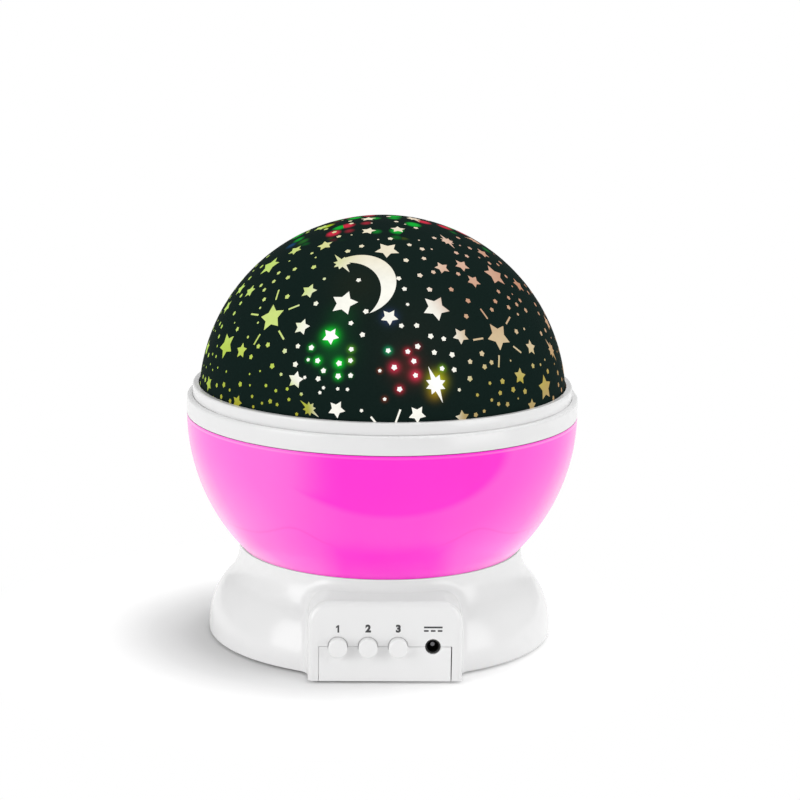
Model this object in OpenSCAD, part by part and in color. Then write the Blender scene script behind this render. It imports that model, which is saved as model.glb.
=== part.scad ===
// Star night light: a turning star dome on a ball-shaped bowl and a flared base with a control panel.
// Millimetres, +Z up, the panel faces -Y, the origin is under the middle of the feet.

/* [Feet and base] */
// how far the feet stand out below the base's lower edge
foot_out = 0.8; // [0.5:0.1:3]
// largest radius of the base
base_r = 56.7; // [54:0.1:60]
// radius of the base's neck
neck_r = 46.8; // [45:0.1:48]
// height above the base's lower edge at which the flare has become the straight neck
neck_z = 27; // [25:0.5:30]
// height of the straight neck, which reaches up to the bowl
neck_h = 1.9; // [1:0.1:2]
// radius of the outward curve of the flare
flare_r = 22.8; // [20:0.1:26]
// wall of the base
base_wall = 2.2; // [1.8:0.1:2.6]

/* [Bowl and rings] */
// outer radius of the bowl's ball shape and of the lower ring
bowl_r = 64; // [62:0.5:68]
// wall of the bowl
bowl_wall = 2; // [1.6:0.1:2.6]
// height of the bowl's mouth above the base's lower edge
mouth_z = 73.3; // [71:0.1:76]
// height of the bowl's flat floor above the base's lower edge
floor_z = 19; // [18.5:0.5:22]
// height of the lower ring
ring_h = 5.9; // [5.5:0.1:8]
// how far the upper ring, which carries the dome, stands in from the lower ring
collar_step = 1.9; // [1.2:0.1:2.5]
// visible height of the upper ring
collar_h = 3.5; // [3:0.1:5]
// gap under the pieces that turn
turn_gap = 0.3; // [0.2:0.05:0.5]

/* [Dome] */
// how far the dome stands in from the upper ring
dome_step = 2; // [1.5:0.1:3]
// wall of the dark star shell, the dome's outer skin
mask_wall = 0.7; // [0.5:0.1:1]
// wall of the clear dome inside the star shell
dome_wall = 1.6; // [1.2:0.1:2]
// gap between the star shell and the clear dome
mask_gap = 0.15; // [0.1:0.05:0.3]
// scale of the star windows
star_scale = 1; // [0.7:0.05:1.2]

/* [Drive] */
// teeth of the turntable's inner gear
ring_teeth = 72; // [60:12:84]
// teeth of the motor's pinion
pinion_teeth = 12; // [10:1:14]
// distance of the inner gear's pitch circle from the bowl's outer radius
gear_in = 19; // [18:0.5:21]
// radial running clearance of the turntable on its hub
run_fit = 0.08; // [0.03:0.01:0.1]
// radius of the motor's shaft
shaft_r = 1.5; // [1:0.1:2]

/* [Panel] */
// room beside the outer button and beside the socket, to the panel's sides
panel_side = 9.3; // [8.8:0.1:10.5]
// how far the panel's face stands out from the base's largest radius
panel_out = 3.3; // [2:0.1:6]
// height of the panel's top
panel_top = 25.6; // [24:0.1:27]
// radius of the panel's upper corners
panel_corner = 7; // [4:0.5:9]
// rounding around the panel's face
panel_edge = 1; // [0.5:0.1:1.5]
// distance from the panel's side to the bottom cover's tongue in its face
tongue_side = 3.3; // [2.6:0.1:3.8]
// height of the buttons, the socket and the seam
seam_z = 11.3; // [10.5:0.1:13]
// clearance between the tongue and the shell
seam_gap = 0.15; // [0.1:0.05:0.25]
// radius of a button
button_r = 3; // [2.4:0.1:3.4]
// how far a button stands out of the panel
button_out = 3; // [1:0.1:3.5]
// travel of a button
button_travel = 0.8; // [0.4:0.1:1]
// spacing of the buttons
button_pitch = 9.4; // [8.6:0.1:10]
// distance from the last button to the power socket
jack_gap = 10.85; // [9.8:0.05:12]
// radius of the power socket's mouth
jack_mouth_r = 1.9; // [1.8:0.05:2]
// depth of the power socket's mouth ahead of its centre pin
jack_mouth = 2; // [1.8:0.1:2.4]

/* [Batteries] */
// radius of one cell
cell_r = 5.25; // [5:0.05:5.3]
// length of one cell's can
cell_l = 43.3; // [42.5:0.1:43.5]
// spacing of the cells
cell_pitch = 11.3; // [11:0.1:11.6]
// middle of the row of cells behind the base's middle
bay_y = 8; // [6:0.5:10]
// room for the contacts at the cells' ends, both ends together
contact_room = 8.7; // [8:0.1:10]
// room for the battery door's spring latch behind the cells
latch_room = 2.8; // [2.6:0.1:3.4]

/* [Hidden] */
e = 0.01;
$fn = 64;
fine = 180;
// radii that follow the bowl's
collar_r = bowl_r - collar_step;
dome_r = collar_r - dome_step;
pitch_r = bowl_r - gear_in;
// base profile
flare_c = base_r - flare_r;
flare_z = 2;
fa = neck_r - flare_c;
fb = neck_z - flare_z;
fillet_r = (fa * fa + fb * fb - flare_r * flare_r) / (2 * (flare_r - fa));
knee_z = flare_z + flare_r * fb / (flare_r + fillet_r);
knee_r = flare_c + flare_r * (fa + fillet_r) / (flare_r + fillet_r);
cup_gap = 0.25;
cup_wall = 2;
cup_r = bowl_r + cup_gap;
flat_r = sqrt(bowl_r * bowl_r - (mouth_z - floor_z) * (mouth_z - floor_z));
cover_z = 0.8;
cover_t = 2;
cover_r = flare_c + flare_r - base_wall - 0.35;
post_x = base_r - 18.7;
post_y = base_r - 28.7;
base_screws = [[post_x, post_y], [-post_x, post_y], [-post_x, -post_y], [post_x, -post_y]];
feet_r = cover_r - 5.15;
boss_r = 3.2;
screw_r = 1.1;
head_r = 2.2;
bowl_screw_r = flat_r - 8.4;
bowl_screw_turns = [90, 210, 330];
// panel
panel_w = 2 * button_pitch + jack_gap + 2 * panel_side;
panel_y = base_r + panel_out;
button_x = panel_side - panel_w / 2;
jack_x = panel_w / 2 - panel_side;
tongue_x = panel_w / 2 - tongue_side;
tongue_top = seam_z - seam_gap;
face_in = panel_y - base_wall;
cap_hole = button_r + 0.15;
nose_r = 2.35;
socket_r = jack_mouth_r + 0.45;
board_y = 8 - panel_y;
board_t = 1.6;
board_w = panel_w - 2 * base_wall - 2.7;
board_h = panel_top - base_wall - cover_z - cover_t - 3.6;
jack_w = 8;
plunger_r = 1.75;
flange_y = face_in - 0.2;
button_xs = [button_x, button_x + button_pitch, button_x + 2 * button_pitch];
// battery bay
bay_l = cell_l + contact_room;
bay_w = 4 * cell_pitch + 0.8 + latch_room;
bay_y0 = bay_y - 2 * cell_pitch - 0.4;
bay_y1 = bay_y0 + bay_w;
plate_w = cell_pitch - 3.3;
bay_wall = 1.4;
cell_z = cover_z + cover_t + 0.2 + cell_r;
bay_top = cell_z + cell_r + 0.2;
door_t = 1.5;
tab_xs = [-14, 14];
// rings, deck and drive
band_in = bowl_r - 1.8;
deck_t = 2;
deck_z = mouth_z;
deck_top = deck_z + deck_t;
ring_top = mouth_z + ring_h;
collar_z = ring_top + turn_gap;
hub_in = pitch_r + 5.2;
hub_out = hub_in + 1.6;
table_z = deck_top + turn_gap;
flange_t = 1.6;
flange_top = table_z + flange_t;
table_out = bowl_r - 4.5;
wall_in = hub_out + run_fit;
wall_out = wall_in + 1.6;
table_top = collar_z + collar_h;
gear_z = collar_z + 0.5;
gear_t = 2.2;
hub_top = gear_z - turn_gap;
gear_m = 2 * pitch_r / ring_teeth;
pinion_pitch = gear_m * pinion_teeth / 2;
pinion_y = pitch_r - pinion_pitch;
skirt_in = wall_out + 0.12;
skirt_out = skirt_in + 1.5;
key_w = 4;
key_out = 1;
lug_turns = [90, 210, 330];
deck_screw_r = bowl_r - 7.5;
deck_screw_turns = [30, 150, 270];
floor_t = 1.2;
// dome
dome_c = collar_z - 2.1;
edge_z = collar_z + floor_t;
mask_in = dome_r - mask_wall;
clear_r = mask_in - mask_gap;
clear_in = clear_r - dome_wall;
edge_r = sqrt(dome_r * dome_r - (edge_z - dome_c) * (edge_z - dome_c));
inner_edge = sqrt(clear_in * clear_in - (edge_z - dome_c) * (edge_z - dome_c));
// wires
wire_y = -bowl_screw_r / 2;
wire_r = 0.7;
wire_z = bay_top + bay_wall + 0.15 + wire_r;
// motor and gearbox
gearbox_w = 24;
gearbox_l = 32;
gearbox_h = 14;
ear_x = gearbox_w / 2 + 4;
ear_y = pinion_y - 6;
motor_y = pinion_y - 13;
motor_l = 25;
motor_r = 10;
motor_z = mouth_z - gearbox_h - motor_l;
// light tower
tower_h = 9;
tower_r = 13;
tower_ear = tower_r + 4;
tower_screw_x = tower_r - 4;
tower_top = deck_top + tower_h;
led_spots = [[-5, -5], [5, -5], [5, 5], [-5, 5]];

module lift() {
  translate([0, 0, foot_out]) children();
}

module tube_z(r_out, r_in, z0, z1) {
  translate([0, 0, z0]) difference() {
    cylinder(h = z1 - z0, r = r_out, $fn = fine);
    translate([0, 0, -1]) cylinder(h = z1 - z0 + 2, r = r_in, $fn = fine);
  }
}

module rod_y(r, y0, y1) {
  translate([0, y1, 0]) rotate([90, 0, 0]) cylinder(h = y1 - y0, r = r);
}

// ---- base ----

module base_profile(w = 0) {
  difference() {
    union() {
      intersection() {
        translate([flare_c, flare_z]) circle(flare_r - w, $fn = fine);
        square([base_r + 1, knee_z]);
      }
      square([flare_c + 6, knee_z]);
      square([knee_r - 0.7 * w, neck_z]);
      translate([0, neck_z - e]) square([neck_r - w, neck_h + e]);
    }
    translate([neck_r + fillet_r, neck_z]) circle(fillet_r + w, $fn = fine);
  }
}

module panel_outline(w = 0, drop = 0) {
  half = panel_w / 2 - w;
  top = panel_top - w;
  corner = panel_corner - w;
  translate([-half, -drop]) square([2 * half, top - corner + drop]);
  translate([-half + corner, -drop]) square([2 * (half - corner), top + drop]);
  for (s = [-1, 1])
    translate([s * (half - corner), top - corner]) circle(corner);
}

module panel_slab(y0, y1, w = 0, drop = 0) {
  translate([0, y1, 0]) rotate([90, 0, 0]) linear_extrude(height = y1 - y0) panel_outline(w, drop);
}

module panel_block() {
  yf = -panel_y + panel_edge;
  panel_slab(yf, -36);
  panel_slab(-panel_y, yf + e, panel_edge);
  for (s = [-1, 1]) {
    translate([s * (panel_w / 2 - panel_edge), yf, 0]) cylinder(h = panel_top - panel_corner, r = panel_edge);
    translate([s * (panel_w / 2 - panel_corner), yf, panel_top - panel_corner])
      rotate([90, s > 0 ? 0 : -90, 0])
        rotate_extrude(angle = 90) translate([panel_corner - panel_edge, 0]) circle(panel_edge);
  }
  translate([-panel_w / 2 + panel_corner, yf, panel_top - panel_edge]) rotate([0, 90, 0])
    cylinder(h = panel_w - 2 * panel_corner, r = panel_edge);
}

module cup(r, z) {
  intersection() {
    translate([0, 0, mouth_z]) sphere(r, $fn = fine);
    translate([0, 0, z]) cylinder(h = bowl_r, r = 2 * bowl_r);
  }
}

module base_hollow() {
  difference() {
    union() {
      translate([0, 0, -e]) rotate_extrude($fn = fine) base_profile(base_wall);
      panel_slab(-face_in, -34, base_wall, 1);
    }
    cup(cup_r + cup_wall, floor_z - cup_wall);
  }
}

module panel_holes() {
  for (x = button_xs)
    translate([x, 0, seam_z]) rod_y(cap_hole, -panel_y - 2, -face_in + 2);
  translate([jack_x, 0, seam_z]) rod_y(nose_r + 0.1, -panel_y - 2, -face_in + 2);
}

module base_shell() {
  color("white") lift() difference() {
    union() {
      difference() {
        union() {
          rotate_extrude($fn = fine) base_profile();
          panel_block();
        }
        base_hollow();
      }
      intersection() {
        for (p = base_screws)
          translate([p[0], p[1], cover_z + cover_t]) cylinder(h = 30, r = boss_r);
        rotate_extrude($fn = fine) base_profile(0.4);
      }
    }
    cup(cup_r, floor_z);
    translate([-tongue_x, -panel_y - 1, -1]) cube([2 * tongue_x, 1 + base_wall, seam_z + 1]);
    panel_holes();
    for (p = base_screws)
      translate([p[0], p[1], -1]) cylinder(h = 15, r = screw_r + 0.05);
    for (a = bowl_screw_turns)
      rotate([0, 0, a]) translate([bowl_screw_r, 0, 0]) cylinder(h = 30, r = screw_r + 0.3);
    translate([0, wire_y, 0]) cylinder(h = 30, r = 4);
  }
}

module bottom_cover() {
  color("gainsboro") lift() difference() {
    union() {
      translate([0, 0, cover_z]) cylinder(h = cover_t, r = cover_r, $fn = fine);
      translate([-panel_w / 2 + base_wall + 0.25, -face_in + 0.2, cover_z])
        cube([panel_w - 2 * base_wall - 0.5, 20, cover_t]);
      translate([-tongue_x + seam_gap, -face_in - 1, cover_z])
        cube([2 * tongue_x - 3.2 * seam_gap, 20, cover_t]);
      intersection() {
        panel_block();
        translate([-tongue_x + seam_gap, -panel_y - 1, 0])
          cube([2 * tongue_x - 3.2 * seam_gap, 1 + base_wall, tongue_top]);
      }
      translate([-bay_l / 2 - bay_wall, bay_y0 - bay_wall, cover_z])
        cube([bay_l + 2 * bay_wall, bay_w + 2 * bay_wall, bay_top + bay_wall - cover_z]);
      for (s = [-1, 1], y = [board_y - board_t, board_y + 2 * board_t])
        translate([s * (board_w / 2 - 0.6) - 0.7, y - board_t / 2 + (y < board_y ? -0.9 : -0.7), cover_z])
          cube([1.4, 1.5, 9]);
    }
    // bay, open below
    translate([-bay_l / 2, bay_y0, -1]) cube([bay_l, bay_w, bay_top + 1]);
    // slots for the door's tabs
    for (x = tab_xs)
      translate([x - 4.2, bay_y0 - 3, cover_z + door_t]) cube([8.4, 3 + e, 2.2]);
    // seat for the door's rear tongue
    translate([-6.3, bay_y1 - e, -1]) cube([12.6, 4.3, 20]);
    panel_holes();
    for (p = base_screws)
      translate([p[0], p[1], -1]) {
        cylinder(h = 10, r = screw_r + 0.3);
        cylinder(h = 1 + cover_z + 0.9, r = head_r + 0.3);
      }
    for (p = feet_spots())
      translate([p[0], p[1], -1]) cylinder(h = 1 + cover_z + 0.6, r = 4.6);
  }
}

function feet_spots() = [for (a = [50, 130, 230, 310]) [feet_r * cos(a), feet_r * sin(a)]];

module feet() {
  color("dimgray") for (p = feet_spots())
    translate([p[0], p[1], 0]) {
      cylinder(h = foot_out + cover_z + 0.6, r = 4.4);
    }
}

module battery_door() {
  color("gainsboro") lift() {
    difference() {
      translate([-bay_l / 2 + 0.3, bay_y0 + 0.3, cover_z]) cube([bay_l - 0.6, bay_w - 0.6, door_t]);
      for (i = [-4:4])
        translate([i * 2.2 - 0.5, bay_y1 - 12, cover_z - 1]) cube([1, 7, 1.5]);
    }
    for (x = tab_xs) {
      translate([x - 3.8, bay_y0 - 1.5, cover_z + door_t + 0.15]) cube([7.6, 5, 1]);
      translate([x - 3.8, bay_y0 + 0.3, cover_z + 0.5]) cube([7.6, 3.2, door_t]);
    }
    // rear tongue with its spring finger
    translate([-6, bay_y1 - 1, cover_z]) cube([12, 3.5, door_t]);
    translate([-5, bay_y1 - 2.5, cover_z]) cube([10, 1, 7]);
    translate([-5, bay_y1 - 2.5, cover_z + 6]) cube([10, 4.2, 1]);
    translate([-5, bay_y1 + 0.7, cover_z + 2.6]) cube([10, 1, 4.4]);
  }
}

module battery_cells() {
  color("seagreen") lift() for (i = [0:3])
    translate([(i % 2 == 0 ? 1 : -1) * 1.8, bay_y + (i - 1.5) * cell_pitch, cell_z])
      rotate([0, i % 2 == 0 ? 90 : -90, 0]) {
        translate([0, 0, -cell_l / 2]) cylinder(h = cell_l, r = cell_r);
        cylinder(h = cell_l / 2 + 1.2, r = 1.9);
      }
}

module contact_plates() {
  color("silver") lift() for (i = [0:3])
    translate([(i % 2 == 0 ? 1 : -1) * (bay_l / 2 - 0.45), bay_y + (i - 1.5) * cell_pitch, cell_z - 0.2])
      translate([-0.2, -plate_w / 2, -plate_w / 2]) cube([0.4, plate_w, plate_w]);
}

module contact_springs() {
  lead = bay_l / 2 - 1.8 - cell_l / 2;
  color("silver") lift() for (i = [0:3])
    translate([0, bay_y + (i - 1.5) * cell_pitch - 2, cell_z])
      rotate([90, 0, 180]) translate([0, 0, 0])
        scale([i % 2 == 0 ? 1 : -1, 1, 1])
          linear_extrude(height = 4) polygon([
            [bay_l / 2 - 0.6, -4], [bay_l / 2 - 0.2, -4], [bay_l / 2 - 0.2, 4], [bay_l / 2 - 0.6, 4],
            [bay_l / 2 - lead + 0.15, 0.4], [bay_l / 2 - lead + 0.15, -0.4],
            [bay_l / 2 - 1.6, -2.6], [bay_l / 2 - 1.6, -2.1],
            [bay_l / 2 - lead + 0.65, -0.2], [bay_l / 2 - lead + 0.65, 0.2],
            [bay_l / 2 - 0.6, 3.4]]);
}

module base_screws() {
  color("dimgray") lift() for (p = base_screws)
    translate([p[0], p[1], cover_z + 1]) screw_up(10, head_r, screw_r);
}

// a screw whose head's face is at z = 0 - 1, its shank going up
module screw_up(l, hr, sr) {
  difference() {
    union() {
      translate([0, 0, -0.9]) cylinder(h = 0.8, r = hr);
      translate([0, 0, -0.2]) cylinder(h = l, r = sr);
    }
    for (a = [0, 90])
      rotate([0, 0, a]) translate([-1.3, -0.25, -1.4]) cube([2.6, 0.5, 0.9]);
  }
}

// a flat-head screw whose top is at z = 0, its shank going down
module screw_down(l, hr, sr) {
  difference() {
    union() {
      translate([0, 0, -hr + sr]) cylinder(h = hr - sr, r1 = sr, r2 = hr);
      translate([0, 0, -l]) cylinder(h = l - hr + sr + e, r = sr);
    }
    for (a = [0, 90])
      rotate([0, 0, a]) translate([-1.1, -0.2, -0.5]) cube([2.2, 0.4, 1]);
  }
}

// ---- panel pieces ----

module button_at(i) {
  color("white") lift() translate([button_xs[i], 0, seam_z]) {
    difference() {
      union() {
        rod_y(button_r, -panel_y - button_out + 0.5, -flange_y + 0.8);
        rod_y(button_r - 0.5, -panel_y - button_out, -flange_y);
        translate([0, -panel_y - button_out + 0.5, 0]) rotate([90, 0, 0])
          rotate_extrude() translate([button_r - 0.5, 0]) circle(0.5, $fn = 32);
        rod_y(button_r + 0.8, -flange_y, -flange_y + 0.8);
      }
    }
  }
}

module button_1() { button_at(0); }
module button_2() { button_at(1); }
module button_3() { button_at(2); }

module plunger_at(i) {
  color("dimgray") lift() translate([button_xs[i], 0, seam_z])
    rod_y(plunger_r, -flange_y + 0.8, board_y - 0.4 - button_travel);
}

module plunger_1() { plunger_at(0); }
module plunger_2() { plunger_at(1); }
module plunger_3() { plunger_at(2); }

module switch_bodies() {
  color("silver") lift() for (x = button_xs)
    difference() {
      translate([x - 3, board_y - 3.4, seam_z - 3]) cube([6, 3.4, 6]);
      translate([x, 0, seam_z]) rod_y(plunger_r + 0.1, board_y - 5, board_y - 0.3);
    }
}

module control_board() {
  color("darkgreen") lift() difference() {
    translate([-board_w / 2, board_y, cover_z + cover_t]) cube([board_w, board_t, board_h]);
    translate([jack_x - jack_w / 2 - 0.2, board_y - 1, seam_z - jack_w / 2 - 0.2])
      cube([jack_w + 0.4, board_t + 2, jack_w + 0.4]);
  }
}

module board_parts() {
  color("black") lift() {
    translate([-10, board_y + board_t, 5]) cube([10, 1.5, 4]);
    translate([0, board_y + board_t, 5]) cube([4, 2, 4]);
    translate([-14, 0, 7]) rod_y(2, board_y + board_t, board_y + board_t + 6);
  }
}

module dc_jack() {
  color("black") lift() difference() {
    union() {
      translate([jack_x - jack_w / 2, -face_in + 0.2, seam_z - jack_w / 2]) cube([jack_w, 10.4, jack_w]);
      translate([jack_x, 0, seam_z]) rod_y(nose_r, -panel_y + 0.5, -face_in + 1);
    }
    translate([jack_x, 0, seam_z]) {
      rod_y(jack_mouth_r, -panel_y - 1, -panel_y + 0.5 + jack_mouth);
      rod_y(socket_r, -panel_y + 0.5 + jack_mouth, -panel_y + 10);
    }
  }
}

module jack_pin() {
  color("gold") lift() translate([jack_x, 0, seam_z]) {
    rod_y(0.65, -panel_y + 0.5 + jack_mouth + 0.3, -panel_y + 10);
  }
}

// ---- bowl ----

module bowl() {
  color("hotpink") lift() difference() {
    union() {
      difference() {
        cup(bowl_r, floor_z);
        difference() {
          cup(bowl_r - bowl_wall, floor_z + bowl_wall);
          for (a = bowl_screw_turns)
            rotate([0, 0, a]) translate([bowl_screw_r, 0, floor_z]) cylinder(h = 12, r = boss_r);
        }
        translate([0, 0, mouth_z]) cylinder(h = 2 * bowl_r, r = 2 * bowl_r);
      }
      intersection() {
        for (a = deck_screw_turns)
          rotate([0, 0, a]) translate([deck_screw_r, 0, mouth_z - 24]) cylinder(h = 22 - e, r = boss_r);
        cup(bowl_r - 1, floor_z);
      }
    }
    for (a = bowl_screw_turns)
      rotate([0, 0, a]) translate([bowl_screw_r, 0, floor_z - 1]) cylinder(h = 11, r = screw_r + 0.05);
    for (a = deck_screw_turns)
      rotate([0, 0, a]) translate([deck_screw_r, 0, mouth_z - 14]) cylinder(h = 20, r = screw_r + 0.05);
    translate([0, wire_y, 0]) cylinder(h = 30, r = 4);
  }
}

module bowl_screws() {
  color("dimgray") lift() for (a = bowl_screw_turns)
    rotate([0, 0, a]) translate([bowl_screw_r, 0, floor_z - cup_wall + 0.1]) screw_up(9, head_r, screw_r);
}

module rim_ring() {
  shelf_t = 2;
  color("white") lift() difference() {
    union() {
      difference() {
        rotate_extrude($fn = fine) {
          translate([band_in, mouth_z + e]) square([bowl_r - band_in, ring_h - 0.8]);
          translate([band_in, mouth_z + e]) square([bowl_r - band_in - 0.8, ring_h]);
          translate([bowl_r - 0.8, ring_top - 0.8]) circle(0.8, $fn = 48);
        }
        translate([0, 0, 0]) cylinder(h = e, r = 1);
      }
      tube_z(bowl_r - bowl_wall - 0.35, hub_in + 0.8, mouth_z - shelf_t, mouth_z + 0.02);
      tube_z(bowl_r - bowl_wall + 0.6, bowl_r - bowl_wall - 1.5, mouth_z, mouth_z + 0.02);
      for (a = lug_turns)
        rotate([0, 0, a]) translate([0, 0, ring_top - 1.6]) rotate_extrude(angle = 12, $fn = fine)
          translate([table_out - 1.2, 0]) square([band_in - table_out + 1.7, 1.6]);
    }
    for (a = deck_screw_turns)
      rotate([0, 0, a]) translate([deck_screw_r, 0, mouth_z - 10]) cylinder(h = 20, r = screw_r + 0.3);
  }
}

// ---- deck and drive ----

module deck() {
  color("white") lift() difference() {
    union() {
      translate([0, 0, deck_z + 0.02]) cylinder(h = deck_t - 0.02, r = band_in - 0.2, $fn = fine);
      tube_z(hub_out, hub_in, deck_top - e, hub_top);
    }
    for (a = deck_screw_turns)
      rotate([0, 0, a]) translate([deck_screw_r, 0, deck_top]) {
        translate([0, 0, -5]) cylinder(h = 10, r = screw_r + 0.3);
        translate([0, 0, -1.6]) cylinder(h = 1.6 + e, r1 = screw_r + 0.3, r2 = head_r + 0.7);
      }
    translate([0, pinion_y, deck_z - 1]) cylinder(h = 5, r = shaft_r + 0.8);
    for (s = [-1, 1])
      translate([s * ear_x, ear_y, deck_z - 1]) cylinder(h = 5, r = screw_r + 0.3);
    translate([0, 0, deck_z - 1]) cylinder(h = 5, r = 3);
    for (s = [-1, 1])
      translate([s * tower_ear, 0, deck_z - 1]) cylinder(h = 5, r = screw_r + 0.05);
  }
}

module deck_screws() {
  color("dimgray") lift() for (a = deck_screw_turns)
    rotate([0, 0, a]) translate([deck_screw_r, 0, deck_top - 0.2]) screw_down(12, head_r, screw_r);
}

// one tooth flank point at radius r on a base circle of radius rb, as its turn from the pitch point
function flank(r, rb, rp) = involute_turn(sqrt(max(r * r / (rb * rb) - 1, 0))) -
  involute_turn(sqrt(rp * rp / (rb * rb) - 1));
function involute_turn(t) = t * 180 / PI - atan(t);

// half a tooth's angle at radius r
function tooth_half(r, rp, n, thin) = 90 / n - flank(r, rp * cos(20), rp) - thin / rp * 180 / PI;

module gear_outline(rp, n, add, ded, thin) {
  radii = [rp - ded, max(rp - ded, rp * cos(20)) + 0.05, rp, rp + add * 0.5, rp + add];
  polygon([for (i = [0:n - 1], s = [-1, 1], j = [0:4])
    let (r = s < 0 ? radii[j] : radii[4 - j], a = 360 / n * i + s * tooth_half(max(r, rp * cos(20)), rp, n, thin))
      [r * cos(a), r * sin(a)]]);
}

module turntable() {
  color("lightgray") lift() difference() {
    union() {
      tube_z(table_out, wall_in, table_z, flange_top);
      tube_z(wall_out, wall_in, table_z, table_top);
      tube_z(wall_in + e, pitch_r - 2, gear_z, gear_z + gear_t);
      for (a = [0, 120, 240])
        rotate([0, 0, a]) translate([wall_out - 0.5, -key_w / 2, flange_top - e])
          cube([key_out + 0.5, key_w, table_top - flange_top]);
    }
    // inner gear: the outline of an outer gear with the same pitch is cut away
    translate([0, 0, gear_z - 1]) linear_extrude(height = gear_t + 2)
      rotate(90) gear_outline(pitch_r, ring_teeth, gear_m, gear_m * 0.8, -0.1);
  }
}

module pinion() {
  color("ivory") lift() translate([0, pinion_y, 0]) difference() {
    union() {
      translate([0, 0, gear_z - 0.4]) linear_extrude(height = gear_t + 0.8)
        rotate(90) gear_outline(pinion_pitch, pinion_teeth, gear_m * 0.75, gear_m * 1.15, 0.1);
      translate([0, 0, deck_top + 1]) cylinder(h = gear_z - deck_top - 1, r = shaft_r + 1.6);
    }
    translate([0, 0, deck_top]) cylinder(h = 12, r = shaft_r + 0.02);
  }
}

module motor_shaft() {
  color("silver") lift() translate([0, pinion_y, mouth_z - 9])
    cylinder(h = gear_z + gear_t + 0.4 - mouth_z + 9, r = shaft_r);
}

module gearbox() {
  color("gray") lift() difference() {
    union() {
      translate([-gearbox_w / 2, pinion_y + 8 - gearbox_l, mouth_z - gearbox_h])
        cube([gearbox_w, gearbox_l, gearbox_h]);
      for (s = [-1, 1])
        translate([s * ear_x, ear_y, mouth_z - 3]) cylinder(h = 3, r = 3.4);
      translate([-ear_x, ear_y - 3.4, mouth_z - 3]) cube([2 * ear_x, 6.8, 3]);
    }
    translate([0, pinion_y, mouth_z - 10]) cylinder(h = 12, r = shaft_r + 0.05);
    for (s = [-1, 1])
      translate([s * ear_x, ear_y, mouth_z - 5]) cylinder(h = 6, r = screw_r + 0.05);
  }
}

module motor_can() {
  color("silver") lift() translate([0, motor_y, motor_z]) {
    cylinder(h = motor_l - e, r = motor_r);
    translate([0, 0, -2]) cylinder(h = 2.1, r = 3);
  }
}

module motor_screws() {
  color("dimgray") lift() for (s = [-1, 1])
    translate([s * ear_x, ear_y, deck_top]) {
      difference() {
        cylinder(h = 1.4, r = head_r);
        translate([-1.2, -0.25, 0.7]) cube([2.4, 0.5, 1]);
      }
      translate([0, 0, -4.5]) cylinder(h = 5, r = screw_r);
    }
}

// ---- light tower ----

module light_tower() {
  color("white") lift() difference() {
    union() {
      translate([0, 0, deck_top]) cylinder(h = tower_h, r1 = tower_r, r2 = tower_r - 1);
      for (s = [-1, 1])
        translate([s * tower_ear, 0, deck_top]) cylinder(h = 2, r = 3.2);
      translate([-tower_ear, -3.2, deck_top]) cube([2 * tower_ear, 6.4, 2]);
    }
    translate([0, 0, deck_top - 1]) cylinder(h = tower_h - 0.6, r = tower_r - 2.4);
    for (s = [-1, 1]) {
      translate([s * tower_ear, 0, deck_top - 1]) cylinder(h = 5, r = screw_r + 0.3);
      translate([s * tower_screw_x, 0, tower_top - 4]) cylinder(h = 5, r = 0.95);
    }
    translate([0, 0, tower_top - 4]) cylinder(h = 5, r = 2.5);
  }
}

module tower_screws() {
  color("dimgray") lift() for (s = [-1, 1])
    translate([s * tower_ear, 0, deck_top + 2]) {
      difference() {
        cylinder(h = 1.4, r = head_r);
        translate([-1.2, -0.25, 0.7]) cube([2.4, 0.5, 1]);
      }
      translate([0, 0, -3.9]) cylinder(h = 4, r = screw_r);
    }
}

module led_board() {
  color("white") lift() difference() {
    translate([0, 0, tower_top]) cylinder(h = 1.6, r = tower_r - 1.5);
    for (s = [-1, 1])
      translate([s * tower_screw_x, 0, tower_top - 1]) cylinder(h = 4, r = 1.1);
  }
}

module led_screws() {
  color("dimgray") lift() for (s = [-1, 1])
    translate([s * tower_screw_x, 0, tower_top + 1.6]) {
      cylinder(h = 1.2, r = 1.8);
      translate([0, 0, -4]) cylinder(h = 4.1, r = 0.9);
    }
}

module led_at(i) {
  translate([led_spots[i][0], led_spots[i][1], tower_top + 1.6]) lift() {
    cylinder(h = 1, r = 2.9);
    cylinder(h = 6.1, r = 2.5);
    translate([0, 0, 6.1]) sphere(2.5);
  }
}

module led_warm() { color("khaki") led_at(0); }
module led_red() { color("red") led_at(1); }
module led_green() { color("lime") led_at(2); }
module led_blue() { color("blue") led_at(3); }

// ---- dome ----

module dome_collar() {
  color("white") lift() difference() {
    union() {
      rotate_extrude($fn = fine) {
        translate([skirt_in, collar_z]) square([collar_r - skirt_in, floor_t]);
        translate([edge_r + 0.2, collar_z]) square([collar_r - edge_r - 0.2, collar_h - 0.6]);
        translate([edge_r + 0.2, collar_z]) square([collar_r - edge_r - 0.8, collar_h]);
        translate([collar_r - 0.6, collar_z + collar_h - 0.6]) circle(0.6, $fn = 48);
        translate([inner_edge - 1.5, collar_z]) square([1.2, collar_h - 0.5]);
      }
      tube_z(skirt_out, skirt_in, flange_top, collar_z + e);
    }
    for (a = [0, 120, 240])
      rotate([0, 0, a]) translate([skirt_in - 1, -key_w / 2 - 0.15, flange_top - 1])
        cube([key_out + 1.3, key_w + 0.3, collar_z + collar_h + 2 - flange_top]);
  }
}

module dome_cover() {
  color([0.1, 0.14, 0.13, 0.4]) lift() difference() {
    translate([0, 0, dome_c]) sphere(clear_r, $fn = fine);
    translate([0, 0, dome_c]) sphere(clear_in, $fn = fine);
    translate([0, 0, edge_z - 2 * dome_r]) cylinder(h = 2 * dome_r, r = 2 * dome_r);
  }
}

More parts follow.
